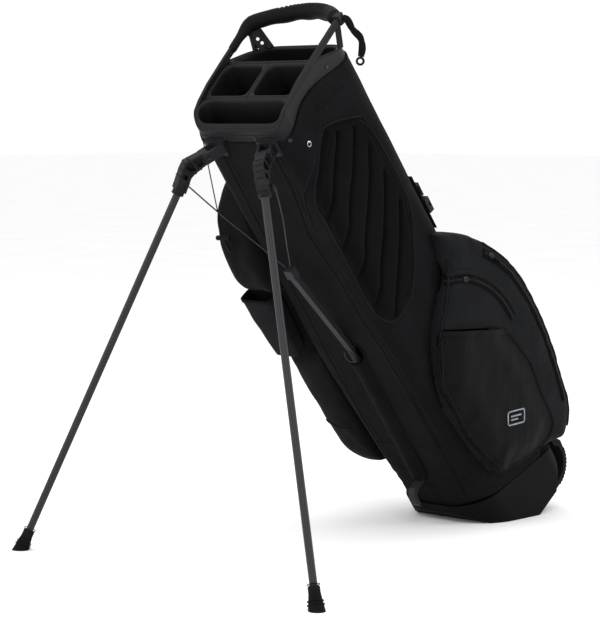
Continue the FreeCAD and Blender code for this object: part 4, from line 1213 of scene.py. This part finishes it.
def compartments():
    """The moulded top's four openings: thick rounded lips, filleted corners and drawn-in walls."""
    count = 120
    a = np.linspace(0, 2 * math.pi, count, endpoint=False)
    ray = np.stack([np.cos(a), np.sin(a)], axis=1)

    def reach(centre, low, high, radius):
        """How far the rays from the centre go to the edge of a rounded rectangle."""
        middle, half = (np.add(low, high)) / 2, np.subtract(high, low) / 2
        near, far = np.zeros(count), np.full(count, 300.0)
        for _ in range(40):
            mid = (near + far) / 2
            p = centre + ray * mid[:, None] - middle
            r = radius(p)
            q = np.abs(p) - half + r[:, None]
            gap = np.minimum(q.max(1), 0) + np.hypot(*np.maximum(q, 0).T) - r
            near, far = np.where(gap < 0, mid, near), np.where(gap < 0, far, mid)
        return near

    def even(value):
        return lambda p: np.full(len(p), float(value))

    cuff_low, cuff_high = np.array((-95.5, -93.5)), np.array((97.5, 93.5))
    cells = {
        "front": (
            (-88, -86), (-56.5, 86), lambda p: np.where(p[:, 0] < 0, 15.0, 11.0), (-97, -95), (-51, 95)
        ),
        "mid_near": ((-45.5, -86), (12.5, -5.5), even(12), (-51, -95), (18, 0)),
        "mid_far": ((-45.5, 5.5), (12.5, 86), even(12), (-51, 0), (18, 95)),
        "rear": ((23.5, -86), (90, 86), lambda p: np.where(p[:, 0] > 0, 30.0, 12.0), (18, -95), (99, 95)),
    }
    for name, (low, high, radius, cell_low, cell_high) in cells.items():
        centre = np.add(low, high) / 2
        hole = reach(centre, np.array(low, float), np.array(high, float), radius)
        edge = reach(centre, np.array(cell_low, float), np.array(cell_high, float), even(0.01))
        cuff = reach(centre, cuff_low, cuff_high, lambda p: np.where(p[:, 0] < 0, 23.0, 37.0))
        edge = np.maximum(np.minimum(edge, cuff), hole + 0.4)
        rings = []
        for share, drop in ((1.0, 0.6), (0.7, -0.9), (0.4, -1.3), (0.15, -0.6), (0.0, 1.2)):
            rings.append((hole + (edge - hole) * share, drop))
        rings += [(hole - 0.5, 3.5), (hole - 0.9, 12), (hole - 1.3, 30), (hole - 1.5, 44)]
        verts = []
        for far, drop in rings:
            flat = centre + ray * far[:, None]
            level = np.interp(flat[:, 0], RIM_X, RIM_Z)
            verts.append(np.column_stack([flat, level - drop]))
        obj = piece(
            f"{name}_opening", (np.vstack(verts), grid_faces(len(rings), count, True)), MOULD
        )
        subdivide(obj)


def grip():
    """The overmoulded grip: finger rolls beneath, ribs in a window on top; it runs on down the far arm."""
    main = 150
    u = np.linspace(-1, 1, main)
    arc = np.stack([101 + 37 * (1 - u ** 2), 84 * u, 887 - 9 * (1 - u ** 2)], axis=1)
    tail = smooth_path(
        [(101, 84, 887), (93, 91.5, 885), (78, 93.6, 882), (58, 93.4, 878.6), (40, 92.8, 875)], 50
    )[1:]
    n = main + len(tail)
    path = np.vstack([arc, tail])
    for _ in range(12):
        path[1:-1] = 0.25 * path[:-2] + 0.5 * path[1:-1] + 0.25 * path[2:]
    u = np.concatenate([u, np.full(len(tail), 1.2)])
    m = 40
    a = np.arange(m) * 2 * math.pi / m
    along = np.gradient(path, axis=0)
    along /= np.linalg.norm(along, axis=1)[:, None]
    top = np.array((0.30, 0, 0.95))
    normal = top - (along @ top)[:, None] * along
    normal /= np.linalg.norm(normal, axis=1)[:, None]
    side = np.cross(along, normal)
    down = np.concatenate([np.zeros(main), np.linspace(0, 1, len(tail))])
    radius = (11.8 + 1.2 * np.maximum(1 - u ** 2, 0)) * (
        0.62 + 0.38 * smoothstep((1 + u) / 0.06)
    ) * (1 - 0.42 * smoothstep(down * 1.6)) - 1.6 * smoothstep((down - 0.9) / 0.1)
    r = radius[:, None] * (1 - 0.08 * np.sin(a)[None] ** 2)
    rolls = 0.9 * np.cos(u * math.pi * 4) * (np.abs(u) < 0.9)
    finger = rolls[:, None] * np.maximum(-np.cos(a), 0)[None] ** 2
    window = (np.abs(u)[:, None] < 0.62) * smoothstep((np.cos(a)[None] - 0.55) / 0.15)
    ribs = window * (-1.5 + 1.4 * (np.cos(u * 84 * 2 * math.pi / 6.5) > -0.2)[:, None])
    r = r + finger + ribs
    verts = path[:, None] + r[..., None] * (
        np.cos(a)[None, :, None] * normal[:, None] + np.sin(a)[None, :, None] * side[:, None]
    )
    faces = grid_faces(n, m, True) + [tuple(range(m))[::-1], tuple(range((n - 1) * m, n * m))]
    obj = piece("grip_overmould", (verts.reshape(-1, 3), faces), GRIP)
    subdivide(obj)
    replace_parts(obj, "handle_grip")


def tether():
    """A flat rubber tether hanging from the near end of the grip, with an eyelet."""
    across = np.array((0.6846, -0.7289, 0)) * 1000
    start = world((104, -97.8, 889)) * 1000
    line = ((0, -2), (7, -6), (15, -20), (26, -32), (29, -46), (27, -60))
    path = np.array([start + across * a / 1000 + (0, 0, b) for a, b in line])
    flat = np.array((0.7289, 0.6846, 0))
    path = smooth_path(path, 50)
    wide = 0.85 + 0.2 * np.abs(np.sin(np.linspace(0, 3 * math.pi, 50)))
    parts = [sweep(path / 1000, slab(10.5, 2.5) / 1000, flat, scale=wide)]
    centre = (start + across * 26 / 1000 + (0, 0, -66.5)) / 1000
    a = np.linspace(0, 2 * math.pi, 32, endpoint=False)
    ring = centre + 0.0050 * (np.cos(a)[:, None] * across / 1000 + np.sin(a)[:, None] * np.array((0, 0, 1)))
    parts.append(
        sweep(
            ring, np.array([(-1.3, -1.7), (1.3, -1.7), (1.3, 1.7), (-1.3, 1.7)]) / 1000, flat, closed=True
        )
    )
    obj = piece("rubber_tether", join_parts(parts), RUBBER, in_bag=False)
    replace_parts(obj, "handle_tether")


def fasteners():
    """Domed snaps on the flanks and screws in the top."""
    def dome(centre, normal, radius, slot):
        n = np.asarray(normal, float) / np.linalg.norm(normal)
        a = np.cross(n, (0.3, 0.2, 1.0))
        a /= np.linalg.norm(a)
        b = np.cross(n, a)
        rings = [
            (1.0, 0.0), (1.0, 0.16), (0.93, 0.30), (0.70, 0.38), (0.62, 0.30), (0.5, 0.34), (0.2, 0.44),
            (0.02, 0.46)
        ]
        turn = np.linspace(0, 2 * math.pi, 28, endpoint=False)
        verts = [
            np.asarray(centre) + radius * (r * (math.cos(t) * a + math.sin(t) * b) + h * n) for r,
            h in rings for t in turn
        ]
        faces = grid_faces(len(rings), 28, True) + [tuple(range((len(rings) - 1) * 28, len(rings) * 28))]
        if slot:
            verts = [
                v if np.linalg.norm(
                    v - np.asarray(centre) - ((v - np.asarray(centre)) @ n) * n
                ) > radius * 0.4 else v
                - n * radius * 0.2 for v in verts
            ]
        return np.array(verts), faces

    snaps = [
        dome(tube_point(66, 781, 0.6)[0], (0, -1, 0), 5.2, False),
        dome((-66, 96.4, 781), (0, 1, 0), 5.2, False)
    ]
    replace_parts(piece("snap_caps", join_parts(snaps), SNAP), "flank_snaps")
    near = tube_point(66, 781, 0.6)[0] - (0, 1.9, 0)
    piece(
        "snap_centres",
        join_parts([dome(near, (0, -1, 0), 2.7, False), dome((-66, 98.3, 781), (0, 1, 0), 2.7, False)]),
        TEETH
    )
    heads = [((33, -95.2, 848), (0, -1, 0)), ((33, 95.2, 848), (0, 1, 0)), (
        (-97.2, -30, 814), (-1, 0, 0)
    ), ((-97.2, 30, 814), (-1, 0, 0)),
             ((-90, -91, 806), (-0.7, -0.7, 0)), ((-90, 91, 806), (-0.7, 0.7, 0))]
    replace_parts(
        piece("screw_heads", join_parts([dome(c, n, 3.4, True) for c, n in heads]), STEEL),
        "cuff_screws"
    )


def small_straps():
    """The pull tab on the ball pocket, the toggle, the cord and the rear buckle's webbing."""
    path = smooth_path(
        [(176, -86, 40), (184, -86, 46), (190, -86, 54), (187, -86, 60), (180, -86, 58), (174, -86, 52)], 30
    )
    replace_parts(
        piece("pocket_tab_loop", sweep(path, slab(17, 1.8), (1, 0, 0.4)), STRAP), "pocket_tab"
    )
    bar = smooth_path(
        [(-118.3, 113.5, 636), (-118.8, 120, 636.4), (-118.8, 133, 636.4), (-118.3, 139.5, 636)], 30
    )
    thick = 0.82 + 0.18 * np.abs(np.cos(np.linspace(0, math.pi, 30)))
    parts = [sweep(bar, circle(4.0, 12), (0, 0, 1), scale=thick)]
    stem = smooth_path([(-119.5, 126.5, 634), (-120, 126.5, 622), (-119.6, 126.5, 610)], 20)
    parts.append(sweep(stem, slab(6, 2.6), (-1, 0, 0)))
    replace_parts(piece("toggle_pull", join_parts(parts), RUBBER), "pocket_toggle")
    start, end = world((-85, 97.5, 800)), world((-116, 127, 643))
    curve = bpy.data.curves.new("pocket_line", "CURVE")
    curve.dimensions = "3D"
    curve.bevel_depth, curve.bevel_resolution = 0.0009, 3
    spline = curve.splines.new("NURBS")
    spline.points.add(5)
    for i, point in enumerate(spline.points):
        k = i / 5
        place = start + (end - start) * k
        point.co = (*place, 1)
    spline.order_u = 3
    spline.use_endpoint_u = True
    line = bpy.data.objects.new("pocket_line", curve)
    scene.collection.objects.link(line)
    curve.materials.append(ZIP)
    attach(line, "bag")
    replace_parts(line, "pocket_cord")
    z = np.linspace(590, 488, 60)
    path = np.stack([np.interp(z, [488, 590], [103.1, 102.1]), np.full(60, -72.0), z], axis=1)
    piece("rear_webbing", sweep(path, slab(20, 1.5), (1, 0, 0)), STRAP)


def legs():
    """The near spring wire is bowed; both brackets have a ribbed collar over the tube's socket."""
    swing, tilt = math.radians(27), math.radians(53)
    for side, label in ((NEAR, "near"), (FAR, "far")):
        out = np.array((-math.cos(swing), side * math.sin(swing), 0))
        up = np.array((0, 0, 1.0))
        pivot = np.array((-121.9, side * 61.2, 799.6))
        down = out * math.sin(tilt) - up * math.cos(tilt)
        top = pivot + out * 64.2 - up * 25.4
        parts = []
        for k in range(7):
            centre = top + down * (-15 + 2.8 * k)
            turn = np.linspace(0, 2 * math.pi, 28, endpoint=False)
            a = np.cross(down, (0.2, 0.4, 1.0))
            a /= np.linalg.norm(a)
            b = np.cross(down, a)
            ring = centre + 9.1 * (np.cos(turn)[:, None] * a + np.sin(turn)[:, None] * b)
            parts.append(sweep(ring, circle(0.8, 8), down, closed=True))
        piece(f"{label}_socket_ribs", join_parts(parts), MOULD, f"{label}_leg")
        tree = tree_of(nodes[f"{label}_leg_bracket"])
        arm = (top - pivot) / np.linalg.norm(top - pivot)
        wide = np.cross(arm, up)
        wide /= np.linalg.norm(wide)
        tall = np.cross(wide, arm)
        parts = []
        for k in range(4):
            centre = pivot + arm * (20 + 9.5 * k)
            ring = []
            for t in turn:
                ray = math.cos(t) * wide + math.sin(t) * tall
                hit, _ = drop_on(tree, [centre + ray * 5], -ray)
                ring.append(hit[0] + 0.3 * ray)
            parts.append(sweep(np.array(ring), circle(1.5, 8), arm, closed=True))
        piece(f"{label}_bracket_rungs", join_parts(parts), MOULD, f"{label}_leg")
        parts = []
        for s, r in ((571, 8.6), (594, 11.3), (599, 12.0)):
            centre = top + down * s
            ring = centre + r * (np.cos(turn)[:, None] * a + np.sin(turn)[:, None] * b)
            parts.append(sweep(ring, circle(0.7, 8), down, closed=True))
        piece(f"{label}_foot_rings", join_parts(parts), RUBBER, f"{label}_leg")
    for side, label, bow in ((NEAR, "near", 6.0), (FAR, "far", 1.5)):
        foot, ear = np.array((-132, side * 4.0, 594)), np.array((-156, side * 92, 770))
        k = np.linspace(0, 1, 60)[:, None]
        shape = np.sin(np.pi * k) * (1 + 0.5 * np.sin(2 * np.pi * (k - 0.5)))
        path = foot + (ear - foot) * k + np.array((-0.45, side * 0.75, -0.25)) * bow * shape
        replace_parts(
            piece(
                f"{label}_spring_wire", sweep(path, circle(1.15, 10), (1, 0, 0.2)), STEEL,
                f"{label}_wire"
            ),
            f"{label}_wire"
        )


shell()
shell_stitching()
hip_pad()
ball_tree = ball_pocket()
ball_trim(ball_tree)
slip_pocket(ball_tree)
apparel_pocket()
bottle_sleeve()
spine_channel()
rod_port()
dividers()
ribs_on_cuff()
rim_lip()
compartments()
grip()
tether()
fasteners()
small_straps()
legs()

for name, material, bevel in (
    ("top_cuff", MOULD, 1.4), ("top_divider", MOULD, 2.6), ("handle_frame", MOULD, 1.8), (
        "base_tub", BASE_MOULD, 2.0
    ),
    (
        "base_grab_handle", RUBBER, 0.7
    ), ("foot_plate", BASE_MOULD, 0.6), ("sole_hinge_pin", STEEL, 0.3), ("leg_hinge_pins", STEEL, 0.4),
    ("near_leg_mount", MOULD, 1.0), ("far_leg_mount", MOULD, 1.0), (
        "near_leg_bracket", MOULD, 1.0
    ), ("far_leg_bracket", MOULD, 1.0),
    (
        "near_leg_tube", TUBE, 0
    ), ("far_leg_tube", TUBE, 0), ("near_foot", RUBBER, 0.8), ("far_foot", RUBBER, 0.8),
    ("actuator_rod", ROD, 1.2), (
        "body_stays", STEEL, 0.5
    ), ("floor_pad", FOAM, 2.0), ("strap_loop", MOULD, 0.8), ("strap_buckle", MOULD, 1.4),
):
    keep_node(name, material, bevel)

# ---------------------------------------------------------------- studio
def light(name, place, aim, size, power, tone=(1, 1, 1)):
    lamp = bpy.data.lights.new(name, "AREA")
    lamp.shape, lamp.size, lamp.size_y = "RECTANGLE", size[0], size[1]
    lamp.energy, lamp.color = power, tone
    obj = bpy.data.objects.new(name, lamp)
    obj.location = place
    obj.rotation_euler = (Vector(aim) - Vector(place)).to_track_quat("-Z", "Y").to_euler()
    scene.collection.objects.link(obj)


light("key", (-2.6, -2.2, 2.6), (-0.3, 0, 0.45), (1.8, 1.8), 40)
light("left", (-3.0, 1.2, 1.4), (-0.3, 0, 0.5), (1.0, 2.2), 26)
light("right", (1.6, -2.6, 1.6), (-0.2, 0, 0.4), (1.0, 2.2), 30)
light("top", (-0.2, 0.2, 3.4), (-0.2, 0, 0), (2.6, 2.6), 30)

floor_mesh = bpy.data.meshes.new("floor")
floor_mesh.from_pydata([(-30, -30, 0), (30, -30, 0), (30, 30, 0), (-30, 30, 0)], [], [(0, 1, 2, 3)])
floor = bpy.data.objects.new("floor", floor_mesh)
scene.collection.objects.link(floor)
floor_material, floor_tree, floor_shader = node_material("floor_paper", roughness=0.9, specular=0.1)
place = add(floor_tree, "ShaderNodeTexCoord").outputs["Object"]
tint(floor_tree, floor_shader, place, (0.93, 0.93, 0.93), (0.96, 0.96, 0.96), 3)
floor_mesh.materials.append(floor_material)

sky = bpy.data.worlds.new("studio")
scene.world = sky
sky.use_nodes = True
sky.node_tree.nodes["Background"].inputs["Color"].default_value = (1, 1, 1, 1)
sky.node_tree.nodes["Background"].inputs["Strength"].default_value = 1.02
